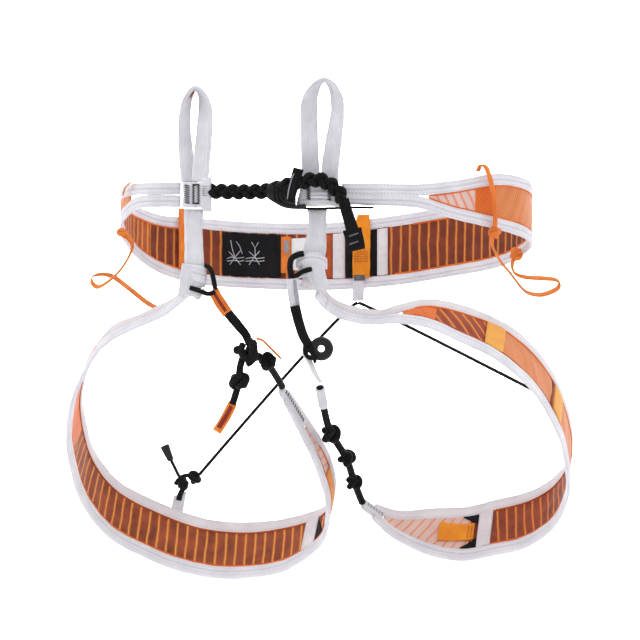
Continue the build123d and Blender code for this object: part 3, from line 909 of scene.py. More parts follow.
def patch(name, left, right, drop, rise, thick, inward, material, **more):
    """A patch of cloth on the back of the belt, from one x to another."""
    def edges(low, high):
        return low + TAPE_W + 0.5 + drop, high - TAPE_W - 0.5 - rise
    return tape(
        name, belt_rows(back_station(left), back_station(right), edges, rate=20, inward=inward), thick, material,
        wave=0.08, power=14, **more
    )


put(
    patch("black_label", -82, -33, -0.2, -0.2, 1.0, 1.35, BLACK_CLOTH), "waistbelt", "label_black",
    "instruction_label"
)
put(
    join(
        "black_label_hems",
        [
            patch("h1", -82, -79.4, 0, 0, 0.7, 1.75, BLACK_CLOTH),
            patch("h2", -35.6, -33, 0, 0, 0.7, 1.75, BLACK_CLOTH)
        ]
    ),
    "waistbelt", "label_black"
)


def glyph(x, z, shapes):
    """Plain line marks on the black label."""
    y = back_y(x, 2.15)
    parts = []
    for shape in shapes:
        parts.append(thread("mark", [(x + p[0], y + 0.02 * p[0], z + p[1]) for p in shape], 0.32, GLYPH))
    return parts


left_marks = [
    [(-7, -6), (-2.5, -4.5), (2, -5.6), (8, -4.8)], [(-7, -8), (-1, -7.4), (4, -8.2), (8, -7.4)],
    [(-5, 0), (-1, -4), (5, -11)], [(5, 1), (0, -5), (-4, -11)], [(-3.4, 9.6), (-2.2, 3), (0, -4)],
    [(1.2, 8.4), (4.2, 4.6), (6.4, -2)],
]
right_marks = [
    [(-8, -6), (-3, -5), (2, -5.8), (8, -5)], [(-8, -8.2), (-2, -7.6), (3, -8.2), (8, -7.6)],
    [(-5, 0), (0, -4.4), (4, -11)], [(4, 0.5), (-1, -5), (-5, -11)], [(0, 3), (0.2, -4)], [(-2.8, 8), (0, 3), (3, 8)],
]
put(
    join("black_label_marks", glyph(-71.6, -14.6, left_marks) + glyph(-54.6, -14.6, right_marks)), "waistbelt",
    "label_white"
)

put(patch("white_label", -24, 3.6, 6.5, 2.5, 0.9, 1.5, CARD), "waistbelt", "label_white", "care_label")
marks = []
for k in range(4):
    z = -14 - 3.4 * k
    marks.append(
        thread("line", [(-20, back_y(-20, 2.15), z), (-9.5 - 2 * (k % 2), back_y(-10, 2.15), z)], 0.22, THREAD_GREY)
    )
for k in range(5):
    z = -9 - 3.8 * k
    marks.append(
        thread(
            "line",
            [(-3.6, back_y(-3, 2.15), z), (-1.4, back_y(-1, 2.15), z + 1.4), (1.6, back_y(1, 2.15), z - 0.4)], 0.3,
            THREAD_GREY
        )
    )
put(join("white_label_lines", marks), "waistbelt", "label_white")
put(patch("size_label", -33.2, -24.4, 3.6, 1.2, 0.9, 1.6, ORANGE), "waistbelt", "orange_tape")
put(
    join("size_label_square", [patch("square", -30.4, -26.2, 20.6, 4.6, 0.5, 2.1, THREAD_GREY)]), "waistbelt",
    "label_white"
)
put(patch("orange_strip", 3.4, 10.4, -0.4, -0.4, 0.7, 1.2, DARK_ORANGE), "waistbelt", "orange_tape")
put(
    patch("back_crossing_left", 10.8, 21, -0.6, -0.6, 1.2, 1.4, BACK_WHITE), "waistbelt", "white_tape",
    "back_tape_left"
)
put(
    patch("haul_cloth", 21.6, 47.8, -0.4, -0.4, 0.9, 1.3, BLACK_CLOTH), "waistbelt", "black_webbing", "haul_backing"
)
put(
    patch("back_crossing_right", 48.2, 57, -0.6, -0.6, 1.2, 1.4, BACK_WHITE), "waistbelt", "white_tape",
    "back_tape_right"
)
haul = strip(
    "haul_strap", [(34.6, 79.6, -36.6), (34.8, 79.0, -10), (35.4, 78.4, 6), (36.6, 79.2, 16.6)], (1, 0, 0),
    lambda t: 14.8 if t < 1.6 else 14.8 - 4.4 * (t - 1.6) / 1.4, 1.4, AMBER, power=9
)
put(haul, "waistbelt", "amber_webbing", "haul_tab")
stitches = []
for k in range(5):
    z = -14.4 - 2.1 * k
    stitches.append(
        dashes(
            "row", [(28.6 * MM, 78.15 * MM, z * MM), (40.6 * MM, 78.15 * MM, z * MM)], np.array((0, -1.0, 0)), 1.6,
            0.8, 0.28, DARK_ORANGE
        )
    )
put(join("haul_stitches", stitches), "waistbelt", "amber_webbing")
hanger = strip(
    "hanger_strap", [(32.6, 80.0, -36), (32.2, 80.4, -46), (31.8, 80.8, -56)], (1, 0, 0.05), 10, 1.3, WEB, power=9
)
put(hanger, "waistbelt", "white_webbing", "hanger_tab")
put(
    join(
        "hanger_tack",
        [zigzag("z", 28.4, 37.4, -34.4 - 1.6 * k, -35.6 - 1.6 * k, 78.9, 15, THREAD_GREY, 0.3) for k in range(3)]
    ),
    "waistbelt", "white_tape"
)

# ---- collars that hold the loops to the belt

collar_rows = path_rows(
    [(-94.2, -79.1, 13.2), (-94.2, -79.3, 20), (-94.2, -79.3, 27), (-94.2, -79.1, 32.6)], (1, 0, 0), 20.4, 8
)
left_collar = tape("left_collar_wrap", collar_rows, 7.6, WHITE, seed=2.4, wave=0.1, power=9, soft=4)
wrap = strip(
    "fold", [(-86.2, -80.6, 10.2), (-86.0, -81.2, 20), (-86.0, -80.9, 36.4)], (1, -0.1, 0), 7.4, 4.6, WEB, power=4
)
put(join("left_collar_cover", [left_collar, wrap]), "waistbelt", "white_webbing", "left_collar")
tacks = [
    zigzag("t", -102.7, -99.0, 16.5, 30.4, -83.3, 17, THREAD_BLACK, 0.55),
    zigzag("t", -96.7, -95.3, 16.2, 30.6, -83.4, 15, THREAD_BLACK, 0.55),
    zigzag("t", -93.0, -91.4, 16.2, 30.6, -83.4, 15, THREAD_BLACK, 0.55),
]
for z in (16.4, 30.6):
    tacks.append(thread("t", [(-96.6, -83.4, z), (-91.6, -83.4, z)], 0.5, THREAD_BLACK))
put(join("left_collar_tacks", tacks), "waistbelt", "black_webbing")
greys = [
    thread(
        "g", [(-89.4, -83.5, 22.4 + 1.7 * k), (-82.9, -83.3, 22.7 + 1.7 * k)], 0.32, THREAD_GREY
    ) for k in range(5)
]
put(join("left_collar_threads", greys), "waistbelt", "white_webbing")

collar_points = [(-0.4, -79.6, 14.6), (-0.6, -79.9, 19), (-0.6, -80.0, 24), (-0.8, -79.6, 29.8)]
right_wrap = tape(
    "w1", path_rows(collar_points, (1, 0, 0), lambda t: 34.4 - 5.2 * (t / 3) ** 1.4, 8), 8.2, WHITE, seed=4.4,
    wave=0.2, power=7, soft=3.4
)
band_low = strip(
    "w2", [(-16.6, -83.6, 17.0), (-6, -84.6, 17.4), (5, -84.6, 17.0), (15.4, -83.4, 15.8)], (0, 0.1, 1), 4.8, 1.8,
    WEB, power=4
)
band_mid = strip(
    "w3", [(-8.6, -84.2, 22.6), (0, -85.0, 22.9), (8.2, -84.4, 22.2)], (0, 0.1, 1), 5.4, 1.8, WHITE, power=4
)
put(join("right_collar_cover", [right_wrap, band_low, band_mid]), "waistbelt", "white_webbing", "right_collar")
tacks = [
    zigzag("t", -10.0, -7.4, 19.4, 27.4, -85.4, 11, THREAD_BLACK, 0.65),
    zigzag("t", 5.6, 8.2, 18.8, 27.0, -85.4, 11, THREAD_BLACK, 0.65),
]
put(join("right_collar_tacks", tacks), "waistbelt", "black_webbing")

# the black strap that runs under the right collar
under = strip(
    "under_strap",
    [(-27, -84.5, 14.8), (-10, -83.6, 12.6), (10, -80.8, 12.9), (26, -80.0, 13.6), (41, -79.6, 13.4)], (0, 1, 0.1),
    5.2, 1.8, BLACK_WEB
)
put(under, "waistbelt", "black_webbing")

# ---- hook buckle and lace tail

hook_points = [
    (-40.4, -85.4, 25.2), (-37.6, -85.4, 25.4), (-33.0, -85.6, 24.8), (-27.6, -85.8, 24.0), (-22.4, -86.0, 23.6),
    (-18.2, -86.0, 23.9)
]
hook_widths = [(8.6,), (13.0,), (17.0,), (19.2,), (20.4,), (20.0,)]
hook = tape(
    "hook_body", path_rows(hook_points, (0, 0, 1), lambda t: between(hook_widths, t)[0], 7), 9.0, PLASTIC, seed=0.3,
    wave=0.0, facets=28, power=3.0, soft=2.2
)
ribs = []
for k in range(4):
    bend = 2.2 + 1.6 * k
    x = -33.6 + 3.5 * k
    ribs.append(
        tube(
            "rib",
            spaced(
                [
                    np.array(p) * MM for p in (
                        (x + 1.2, -88.2, 31.0 - 0.4 * (3 - k)), (x - bend * 0.35, -90.2, 28),
                        (x - bend * 0.5, -90.7, 23.8), (x - bend * 0.2, -90.2, 19.2),
                        (x + 1.8, -88.4, 16.2 + 0.3 * (3 - k))
                    )
                ],
                0.001
            ),
            0.75 * MM, BLACK_WEB, count=8
        )
    )
rim = rope(
    "rim", [(-38.8, -86.6, 21.4), (-30, -88.6, 15.2), (-22, -88.4, 13.4), (-13, -87.4, 13.3), (-11.4, -86.4, 14.4)],
    1.7, PLASTIC, count=10
)
eye = tube(
    "eye",
    [
        np.array(
            (-31.0 + 1.5 * cos(2 * pi * k / 16), -90.3, 30.2 + 1.0 * sin(2 * pi * k / 16))
        ) * MM for k in range(17)
    ],
    0.45 * MM, PLASTIC, count=8, cap=False
)
put(join("hook_shell", [hook, rim, eye] + ribs), "waistbelt", "black_plastic", "hook_buckle")
flap_points = [
    (-22.6, -89.8, 17.4), (-22.0, -90.4, 21), (-19.6, -91.0, 30), (-17.4, -91.0, 38), (-16.2, -90.4, 42.2)
]
flap = strip(
    "f1", flap_points, (1, 0, -0.28), lambda t: 5.6 + 2.6 * sin(min(t, 3.2) / 3.2 * pi * 0.62), 3.6, BLACK_WEB,
    power=4
)
fold = strip(
    "f2", [(-21.6, -92.0, 20), (-19.9, -92.8, 29), (-18.6, -92.8, 36)], (1, 0, -0.28), 2.4, 1.5, BLACK_CLOTH,
    power=3
)
edge = strip(
    "f3", [(-24.6, -91.4, 19), (-23.6, -92.4, 26), (-21.6, -92.9, 33.6), (-19.6, -92.7, 38.4)], (1, 0, -0.2), 0.9,
    0.9, THREAD_GREY, power=3
)
put(join("keeper_cover", [flap, fold, edge]), "waistbelt", "black_webbing", "keeper_flap")

tail_strap = strip(
    "lace_strap", [(17.6, -89, 19.4), (19.6, -89.3, 12), (22.4, -88.9, 3), (24.8, -88.4, -5)], (1, 0, 0.27),
    lambda t: 8.4 + 0.5 * t, 2.4, BLACK_WEB, power=5
)
put(tail_strap, "lace_tail", "black_webbing", "lace_tail")
tab = strip(
    "lace_tag", [(24.2, -88.6, -3.2), (26.0, -88.8, -11), (27.6, -88.4, -19.4)], (1, 0, 0.2),
    lambda t: 14.6 - 0.5 * t, 2.2, BLACK_CLOTH, power=10
)
tab_hem = strip("h", [(24.3, -89.6, -4.6), (24.6, -89.8, -6.0)], (1, 0, 0.2), 14, 0.8, BLACK_WEB, power=10)
tab_marks = [
    thread(
        "m",
        [
            (22.0 + 1.4 * k, -89.95, -9.2 + 0.5 * k - 6.2 * r), (22.9 + 1.4 * k, -89.95, -8.0 + 0.5 * k - 6.2 * r),
            (23.2 + 1.4 * k, -89.95, -9.0 + 0.5 * k - 6.2 * r)
        ],
        0.24, THREAD_GREY
    ) for r in (0, 1) for k in range(5)
]
put(join("lace_tag_cover", [tab, tab_hem] + tab_marks), "lace_tail", "black_webbing", "lace_tail_tab")

# ---- tie-in loops and risers

for side, route, width, seed, x in (("left", LEFT_TIE_IN, 13.2, 0.4, -95.5), ("right", RIGHT_TIE_IN, 13.8, 0.9, 0)):
    rows = path_rows(route, None, width, 12)
    loop = tape(side + "_tie_in_webbing", rows, 3.2, WEB, seed=seed, wave=0.12, facets=36, power=3.6, ridges=3)
    start, end = (x * MM, FRONT_Y, 0.035), (x * MM, FRONT_Y, 0.054)
    bridge(loop, "tie_in_loop_" + side, start, end)
put(
    strip(
        "left_tie_in_core", [(-98.4, -79.6, 97.0), (-97.2, -79.4, 99.6), (-95.8, -79.2, 101.4)], (0, 1, 0), 4, 1.2,
        DARK_ORANGE
    ),
    "tie_in_left", "orange_tape"
)

riser_left = strip(
    "left_riser_webbing", [(-96.0, -78.9, 12.4), (-96.3, -79.4, 0), (-96.0, -79.2, -14), (-95.6, -79.0, -32.4)],
    (1, 0, 0), lambda t: 13.6 + 0.9 * abs(t - 1.5), 3.4, WEB, seed=1.7, facets=36, power=3.6, ridges=3, wave=0.2
)
riser_right = strip(
    "right_riser_webbing", [(-2.0, -78.9, 12.4), (-2.0, -79.6, 2), (-2.6, -79.6, -8), (-4.6, -79.0, -23.4)],
    (1, 0, 0), lambda t: 15.0 - 1.2 * sin(min(t, 2) * pi / 2) + (3.2 * (t - 2) if t > 2 else 0), 3.4, WEB, seed=2.9,
    facets=36, power=3.6, ridges=3, wave=0.2
)
for riser, side, x in ((riser_left, "left", -96), (riser_right, "right", -2)):
    bridge(
        riser, side + "_riser", (x * MM, FRONT_Y, 0.010),
        (x * MM, FRONT_Y, -0.006)
    )

# the folded webbing where each riser meets its leg loop
left_fold = [
    strip(
        "c1", [(-98.4, -79.4, -29.6), (-98.8, -80.4, -40), (-100.2, -79.2, -54.0)], (1, 0.06, -0.1),
        lambda t: 13.4 + 1.6 * t, 5.8, WEB, power=3.2, facets=28, ridges=2
    ),
    strip(
        "c2", [(-104.6, -78.6, -33.4), (-96, -81.6, -36.0), (-86.2, -81.0, -38.6)], (0, 0.1, 1),
        lambda t: 9.0 + 3.0 * t, 3.2, WHITE, power=4, facets=24
    ),
    strip(
        "c3", [(-103.6, -77.6, -46.4), (-95, -81.0, -45.6), (-86.8, -80.4, -43.6)], (0, 0.1, 1),
        lambda t: 13 - 3.6 * t, 2.8, WEB, power=4, facets=24
    ),
    strip(
        "c4", [(-97.6, -76.8, -49), (-91.6, -78.4, -53.0), (-88.4, -78.2, -49.6)], (0.3, 0.1, 1), 8.4, 3.4,
        BACK_WHITE, power=4, facets=24
    ),
]
put(join("left_leg_fold", left_fold), "leg_left", "white_webbing", "left_leg_collar")
right_fold = [
    strip(
        "c1", [(-4.8, -79.2, -20.6), (-5.2, -81.0, -30), (-1.8, -79.8, -41), (1.8, -77.6, -49.4)], (1, 0.06, 0.12),
        lambda t: 19 - 2.4 * t, 5.4, WEB, power=3.0, facets=28, ridges=2
    ),
    strip(
        "c2", [(-18.0, -79.6, -28.4), (-10, -82.2, -24.8), (-0.4, -81.8, -25.4), (5.2, -79.6, -29.6)], (0, 0.1, 1),
        lambda t: 8.6, 3.0, WHITE, power=4, facets=24
    ),
    strip(
        "c3", [(-16.6, -79.4, -36), (-8.6, -81.0, -34.4), (-1.6, -80.2, -36.6)], (0.1, 0.1, 1), 9.6, 3.0, WEB,
        power=4, facets=24
    ),
    strip(
        "c4", [(-13.6, -78.6, -42.6), (-6.4, -79.6, -44.6), (-1.4, -78.8, -45.4)], (0.2, 0.1, 1),
        lambda t: 10.4 - 2.0 * t, 3.2, BACK_WHITE, power=4, facets=24
    ),
]
put(join("right_leg_fold", right_fold), "leg_right", "white_webbing", "right_leg_collar")

# ---- leg loops


def leg_zone(side):
    """What belt_zone is for the belt, for one leg loop's panel."""
    def zone(t, face):
        if side == "left":
            if t > 14.3:
                return 2
            if t < (6.9 if face == 0 else 4.6):
                return 3
            if face == 1 and t < 9.5:
                return 4
            return 0 if face == 0 else 1
        if face == 0:
            return 2 if t > 14.9 else 0
        if t > 14.9:
            return 2
        if t < 5.15:
            return 3
        if t < 6.45:
            return 1
        return 4
    return zone


def leg_edge(side, first, last, far, inside, material, seed):
    """A line along a leg panel's near or far edge, on its inner or outer face."""
    def place(width, t):
        line = width / 2 - LEG_W - 0.1
        return line if far else -line, 1.5
    rows = leg_rows(*LEGS[side], first, last, place, outward=-1.0 if inside else 1.0)
    return tape("edge", rows, 0.9, material, seed=seed, facets=10, wave=0.1)


for side, last, start, stop, inner, flat, area in (
    ("left", 18.3, 3.5, 17.1, LEG_INNER, (0.0348, 0.476), 0.01285),
    ("right", 18.15, 4.1, 17.6, LEG_INNER_RIGHT, (0.0348, 0.4085), 0.01225),
):
    body = "leg_" + side
    near = leg_rows(*LEGS[side], 0.0, last, near_place)
    near = tape(side + "_near_binding", near, 3.9, WHITE, seed=3.1, power=3.6, soft=2.2, facets=24)
    put(near, body, "white_tape", side + "_near_tape")
    far = leg_rows(*LEGS[side], 0.0, last, far_place)
    far = tape(side + "_far_binding", far, 3.4, BACK_WHITE, seed=4.2, power=4, soft=2.2, facets=24)
    put(far, body, "white_tape", side + "_far_tape")
    rows = leg_rows(*LEGS[side], start, stop, leg_place, rate=18)
    leg = panel(
        side + "_leg_sheet", rows, 1.5, [inner, LEG_OUTER, VEIL, BRIGHT, OUTER], leg_zone(side), 0.2, 1.9, 0.5
    )
    put(leg, body, "mesh_panel", side + "_leg_panel")
    edges = [
        leg_edge(side, start + 0.6, 14.2, True, True, DARK_ORANGE, 1),
        leg_edge(side, start + 0.6, 14.2, False, True, THREAD_ORANGE, 2),
        leg_edge(side, start + 0.4, stop - 0.6, True, False, THREAD_ORANGE, 3),
        leg_edge(side, start + 0.4, stop - 0.6, False, False, DARK_ORANGE, 4),
    ]
    put(join(side + "_leg_edges", edges), body, "orange_tape")


def cross_place(width, t):
    return 0, width - 2 * LEG_W + 1.0


def leg_band(name, side, first, last, thick, outward, material, slot, *nodes, place=cross_place):
    """A flat band across a leg loop, from its station first to its station last."""
    rows = leg_rows(*LEGS[side], first, last, place, rate=16, outward=outward)
    put(tape(name, rows, thick, material, wave=0.05, power=8), "leg_" + side, slot, *nodes)


def left_wedge(width, t):
    """The place of the left leg loop's black wedge, which narrows along the loop."""
    gap = width - 2 * LEG_W
    return -gap / 2 * (t - 13.8) / 0.4, max(1.0, gap * (1 - (t - 13.8) / 0.34))


def right_wedge(sign):
    """The place of the black wedge on one side of the right leg loop's crossing."""
    return lambda width, t: (
        sign * ((width / 2 - LEG_W) - 4.6 * (1 - (t - 14.62) / 0.5)), 9.4 * (1 - (t - 14.62) / 0.52),
    )


leg_band("left_outer_loop", "left", 5.9, 6.4, 1.6, 2.2, YELLOW, "orange_tape", "left_outer_tape")
leg_band("left_crossing", "left", 13.4, 13.8, 1.2, -1.4, BACK_WHITE, "white_tape", "left_cross_tape")
leg_band("left_black_wedge", "left", 13.82, 14.12, 0.9, -1.3, BLACK_CLOTH, "black_webbing", place=left_wedge)
leg_band(
    "left_amber_band", "left", 14.75, 15.9, 1.0, 1.35, AMBER, "amber_webbing",
    place=lambda w, t: (0, min(14, w - 2 * LEG_W + 1)),
)
leg_band("right_front_loop", "right", 6.4, 6.86, 1.3, 1.7, YELLOW, "orange_tape", "right_front_tape")
leg_band("right_side_loop", "right", 8.42, 8.8, 1.3, 1.8, YELLOW, "orange_tape", "right_side_tape")
leg_band("right_side_seam", "right", 8.33, 8.4, 1.1, 1.3, DARK_RED, "orange_tape")
leg_band("right_crossing", "right", 14.15, 14.6, 1.2, -1.4, BACK_WHITE, "white_tape", "right_cross_tape")
leg_band(
    "right_amber_band", "right", 14.72, 15.76, 1.2, -1.6, AMBER, "amber_webbing", "right_amber_webbing",
    place=lambda w, t: (0, 16.2 if t < 15.3 else 18.2),
)
for letter, sign in (("a", 1), ("b", -1)):
    name = "right_black_wedge_" + letter
    leg_band(name, "right", 14.62, 15.1, 0.9, -1.35, BLACK_CLOTH, "black_webbing", place=right_wedge(sign))
rows = leg_rows(*LEGS["right"], 14.7, 14.98, lambda w, t: (0, 14), rate=40, outward=-2.35)
stitches = []
for r in (0, 4, 8):
    centre, across, out, width, t = rows[min(r, len(rows) - 1)]
    stitches.append(
        dashes("row", [centre - across * 0.0062, centre + across * 0.0062], -out, 2.0, 0.8, 0.28, DARK_ORANGE)
    )
put(join("right_amber_stitches", stitches), "leg_right", "amber_webbing")

# sleeves at the inner ends of the leg loops, with their dark stitching
for side, first, last, size, stitch, shifts, material in (
    ("left", 17.2, 18.97, 10.4, (17.35, 18.7), (-2.4, 0.0), THREAD_BLACK),
    ("right", 17.7, 18.93, 11.4, (17.75, 18.75), (-1.2, 1.0), THREAD_GREY),
):
    ends = tape(
        side + "_end_cover", leg_rows(*LEGS[side], first, last, lambda w, t: (0, size)), 5.4, WEB, seed=5, power=3,
        soft=2.2, facets=24, wave=0.1
    )
    put(ends, "leg_" + side, "white_webbing", side + "_end_sleeve")
    parts = []
    for shift in shifts:
        for face in (-1, 1):
            line = leg_rows(*LEGS[side], *stitch, lambda w, t: (shift, 1), outward=2.75 * face)
            parts.append(dashes("row", [r[0] for r in line], line[0][2] * face, 2.0, 0.9, 0.42, material))
    put(join(side + "_end_stitches", parts), "leg_" + side, "white_webbing")

put(
    strip(
        "left_anchor_strap", [(-117.6, 83.6, -218), (-119.2, 83.8, -226), (-121, 82.6, -236)], (1, 0, 0.35), 12,
        1.4, WEB, power=9
    ),
    "leg_left", "white_webbing", "left_elastic_tab"
)
put(
    strip(
        "right_anchor_strap", [(191.2, -14.4, -139), (187.4, -11.8, -135.6), (184.2, -9.2, -132.4)], (0, 0.4, 0.9),
        8.4, 1.8, BLACK_WEB, power=7
    ),
    "leg_right", "black_webbing", "right_elastic_tab"
)

# ---- left closure, fastened

left_bend = route_line([(-86.6, -82.4, -30.6), (-83.4, -84.6, -32), (-80.8, -84.6, -39), (-79.4, -84.4, -49)])
left_under = route_line([(-98.4, -82.2, -47.6), (-91, -84.8, -49.6), (-84, -85.2, -53.2), (-79.8, -84.6, -50.4)])
loop_parts = [tube("b1", left_bend, 1.9 * MM, CORD), tube("b2", left_under, 1.9 * MM, CORD)]
put(join("left_collar_loop", loop_parts), "leg_left", "black_cord", "left_collar_cord")
tag = strip(
    "t1", [(-80.8, -83.4, -49.6), (-76.6, -83.6, -57.4), (-69.8, -82.2, -67.4)], (0.83, 0, 0.56), 8.6, 3.6, ORANGE,
    power=4
)
groove = strip(
    "t2", [(-79.8, -85.4, -52.2), (-76.0, -85.6, -58.4), (-71.4, -84.4, -65.4)], (0.83, 0, 0.56), 2.2, 0.9,
    DARK_RED, power=3
)
put(join("left_link_cover", [tag, groove]), "leg_left", "orange_tape", "left_link_tag")
link = strip(
    "left_link_sleeve", [(-70.8, -82.2, -65.6), (-63, -80.8, -75), (-56.6, -79.4, -83), (-53.4, -78.8, -90)],
    (0.8, 0, 0.6), lambda t: 7.8 - 0.5 * t, 4.4, BLACK_WEB, power=2.6, soft=2.2, facets=24
)
put(link, "leg_left", "black_webbing", "left_link_strap")


def ring_tube(name, centre, axis, big, small, material, wobble=0.0):
    """A closed ring of tube round an axis; wobble makes it a little oval."""
    axis = unit(axis)
    side = unit(np.cross(axis, (0.1, 0.3, 1)))
    other = np.cross(axis, side)
    points = [
        np.array(centre) * MM + (
            side * cos(2 * pi * k / 48) + other * sin(2 * pi * k / 48)
        ) * (big + wobble * sin(4 * pi * k / 48)) * MM for k in range(49)
    ]
    return tube(name, points, small * MM, material, count=18, cap=False)


left_parts = [
    ring_tube("r1", (-52.4, -77.6, -96.4), (1, 0.25, -0.2), 7.0, 3.3, CORD, 0.5),
    rope(
        "r2",
        [(-54.4, -80.6, -87.0), (-50.4, -84.2, -91), (-49.0, -85, -97), (-50.6, -83.6, -103), (-55, -81, -105.4)],
        2.6, CORD, count=14
    ),
    rope(
        "r3",
        [
            (-58.6, -80.4, -90.6), (-60.4, -83.4, -94.2), (-58.8, -84.4, -99.8), (-53.4, -83.4, -101.6),
            (-46.4, -80, -100.4)
        ],
        2.6, CORD, count=14
    ),
    knot("r4", (-61.2, -80.4, -95.4), 5.0, (0.6, 0.3, 1), CORD, 0.5, 1.0),
]
put(join("left_ring_wound", left_parts), "leg_left", "black_cord", "left_ring")
tag = strip(
    "t1", [(-66.2, -80, -135.2), (-72, -80.4, -146.6), (-78.6, -80, -157)], (0.87, 0, -0.5), 7.4, 3.2, ORANGE,
    power=5
)
core = strip(
    "t2", [(-67.2, -81.9, -137.6), (-72, -82.2, -146.2), (-76.8, -81.9, -153.8)], (0.87, 0, -0.5), 3.6, 0.8,
    DARK_RED, power=4
)
put(join("left_tail_cover", [tag, core]), "tail_left", "orange_tape", "left_tail_tag")
pull = strip(
    "left_pull_ribbon", [(-48.6, -80.5, -86.2), (-45, -80.5, -86.8), (-41, -80.5, -89.8), (-29.3, -80.5, -101.7)],
    (0, 1, 0), 8.4, 1.9, ORANGE, power=5
)
put(pull, "pull_tab_left", "orange_tape", "left_pull_tab")

# ---- right closure, released

right_bend = route_line([(-12.4, -83.6, -21.6), (-20.4, -84.6, -22.6), (-23.6, -84.6, -30.4), (-21.6, -84.4, -40)])
right_over = route_line([(-21.4, -84.4, -40.6), (-17.6, -85.4, -38.4), (-12.6, -85.2, -34.6), (-6.6, -83.4, -33.4)])
put(
    join("right_collar_loop", [tube("b1", right_bend, 2.3 * MM, CORD), tube("b2", right_over, 1.9 * MM, CORD)]),
    "leg_right", "black_cord", "right_collar_cord"
)
tag = strip(
    "t1", [(-21.0, -85.0, -40.6), (-20.2, -84.9, -52), (-18.4, -83.6, -63)], (1, 0, 0.13), 8.8, 3.8, WEB, power=4
)
band = strip(
    "t2", [(-19.2, -87.0, -41.6), (-18.2, -86.9, -52), (-16.6, -85.7, -62.4)], (1, 0, 0.13), 2.8, 0.8, GREY_WEB,
    power=4
)
link = join("right_link_cover", [tag, band])
bridge(
    link, "right_link_tag", (-0.0208, -0.0848, -0.0405),
    (-0.0205, -0.0850, -0.0540)
)
link_line = spaced(route_line([(-19.2, -83.9, -61)] + LINK_RIGHT[1:] + [(-6.2, -79.0, -94.6)]), 0.0012)
link = tube("right_link_sleeve", link_line, lambda i: (4.1 - 0.5 * i / len(link_line)) * MM, BLACK_WEB, count=18)
put(link, "link_right", "black_cord", "right_link_cord")
right_parts = [
    ring_tube("r1", (1.0, -78.6, -93.8), (0, -1, 0), 5.9, 3.5, PLASTIC),
    strip(
        "r2", [(-8.6, -82.8, -92.6), (-5.6, -83.6, -97), (-3.4, -83.0, -104.6)], (0.9, 0, 0.4),
        lambda t: 6.2 - 1.8 * t, 2.0, BLACK_WEB, power=4
    ),
    rope("r3", [(-10.8, -80.4, -90), (-12.2, -82, -96.4), (-8.6, -82.6, -101), (-3.6, -81.6, -100.8)], 1.9, CORD),
]
put(join("right_ring_body", right_parts), "link_right", "black_plastic", "right_ring")
pull = strip(
    "right_pull_ribbon",
    [(-10.8, -81.5, -98.2), (-7.5, -81.5, -104.5), (-3.2, -81.5, -113.6), (0.7, -81.5, -119.4)], (1.4, 1, 0),
    lambda t: 6.6 - 1.0 * t, 1.7, BACK_WHITE, power=5
)
put(pull, "pull_tab_right", "white_webbing", "right_pull_tab")

# ---- gear loops and slot tapes

gear_left = tape(
    "left_gear_tape", path_rows(LEFT_GEAR, (0.25, 0.8, 0.5), 5.8, 8), 1.9, ORANGE, seed=1.1, wave=0.15, facets=20,
    power=4
)
gear_left_knot = knot("g", (-156.2, -21, -3.2), 4.6, (0.6, 0.2, 1), ORANGE, 0.3, 1.2)
put(join("left_gear_loop", [gear_left, gear_left_knot]), "gear_left", "orange_tape", "gear_loop_left")
gear_right = tape(
    "right_gear_tape", path_rows(RIGHT_GEAR, (-0.2, 0.8, 0.55), 5.8, 8), 1.9, ORANGE, seed=1.6, wave=0.15,
    facets=20, power=4
)
gear_right_knots = [
    knot("g", (134.6, -60.6, -4.6), 5.0, (0.4, 0.2, 1), ORANGE, 0.3, 1.5),
    knot("g", (158.2, 11.6, -19), 5.6, (0.4, 0.2, 1), ORANGE, 1.3, 1.7)
]
put(join("right_gear_loop", [gear_right] + gear_right_knots), "gear_right", "orange_tape", "gear_loop_right")
slot_points = [
    (121.6, -60.6, 42.6), (123.4, -63.4, 46.6), (127.2, -66.2, 45.2), (130.4, -67.4, 36), (133.0, -67.2, 22),
    (134.4, -65.8, 8), (134.2, -64.2, -0.4)
]
slot = strip("right_slot_strap", slot_points, (1, 0.5, 0.12), 4.0, 1.9, ORANGE, power=3.4)
put(slot, "waistbelt", "orange_tape", "right_slot_tape")
left_slot = [
    strip(
        "s1", [(-115.6, 68.0, 21), (-115.4, 67.6, 6), (-115.2, 68.2, -10), (-115.4, 68.6, -29)], (0.95, 0.32, 0),
        5.2, 1.4, ORANGE, power=4
    ),
    strip(
        "s2", [(-143.4, -67.6, 34.2), (-149.0, -64.6, 30.6), (-151.6, -60.6, 24)], (0.2, 1, 0.4), 2.4, 1.2, ORANGE,
        power=4
    ),
]
put(join("left_slot_straps", left_slot), "waistbelt", "orange_tape")

# ---- floor, backdrop and light


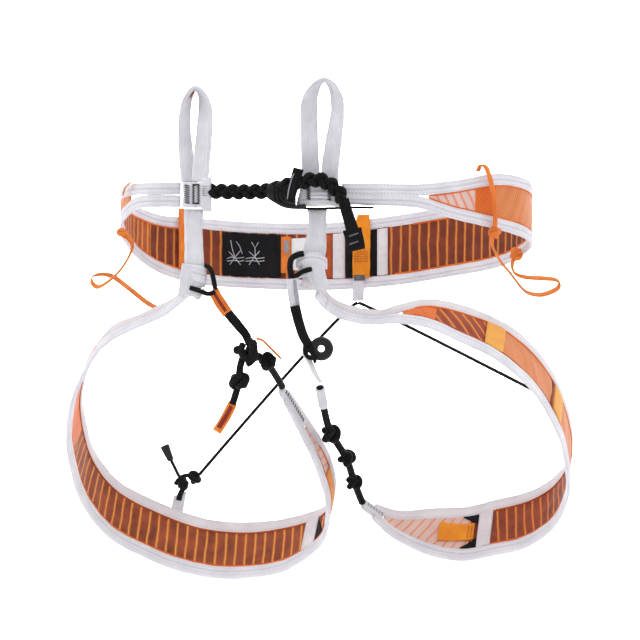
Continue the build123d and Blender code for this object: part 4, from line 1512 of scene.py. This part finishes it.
def stage_sheet():
    """A pale floor that curves up into a backdrop."""
    verts = []
    faces = []
    profile = [(-3.0, -0.34), (1.2, -0.34), (1.7, -0.30), (2.1, -0.15), (2.35, 0.15), (2.45, 0.6), (2.5, 3.0)]
    for y, z in profile:
        verts.append((-5, y, z))
        verts.append((5, y, z))
    for k in range(len(profile) - 1):
        faces.append((2 * k, 2 * k + 1, 2 * k + 3, 2 * k + 2))
    paint = Paint("pale_floor", rough=0.9)
    cloud = paint.noise(3, 2)
    paint.colour(paint.mix(cloud, *linear((250, 250, 250), (255, 255, 255))))
    obj = mesh_object("studio_floor", verts, faces, None, [paint.material])


stage_sheet()
world = bpy.data.worlds.new("studio")
bpy.context.scene.world = world
world.use_nodes = True
nodes = world.node_tree.nodes
links = world.node_tree.links
coord = nodes.new("ShaderNodeTexCoord")
split = nodes.new("ShaderNodeSeparateXYZ")
height = nodes.new("ShaderNodeMapRange")
height.inputs[1].default_value = -0.5
height.inputs[2].default_value = 0.7
height.inputs[3].default_value = 0.38
height.inputs[4].default_value = 0.78
links.new(coord.outputs["Generated"], split.inputs[0])
links.new(split.outputs[2], height.inputs[0])
links.new(height.outputs[0], nodes["Background"].inputs[1])
nodes["Background"].inputs[0].default_value = (1, 1, 1, 1)


def area_light(name, place, target, width, tall, power, spread=pi):
    """A rectangular light that faces its target."""
    data = bpy.data.lights.new(name, "AREA")
    data.shape = "RECTANGLE"
    data.size = width
    data.size_y = tall
    data.energy = power
    data.spread = spread
    light = bpy.data.objects.new(name, data)
    light.location = place
    light.rotation_euler = Vector(tuple(np.array(place) - np.array(target))).to_track_quat("Z", "Y").to_euler()
    bpy.context.collection.objects.link(light)


area_light("left_box", (-1.5, -0.5, 0.7), (0, 0, -0.08), 1.0, 1.2, 9)
area_light("right_box", (1.6, -0.4, 0.6), (0, 0, -0.08), 1.0, 1.2, 8)
area_light("top_box", (0.0, -0.3, 1.5), (0, 0, -0.08), 1.4, 1.0, 6.5)
area_light("backdrop_wash", (0, 1.1, 1.9), (0, 2.4, -0.1), 3.2, 0.8, 85, 1.7)
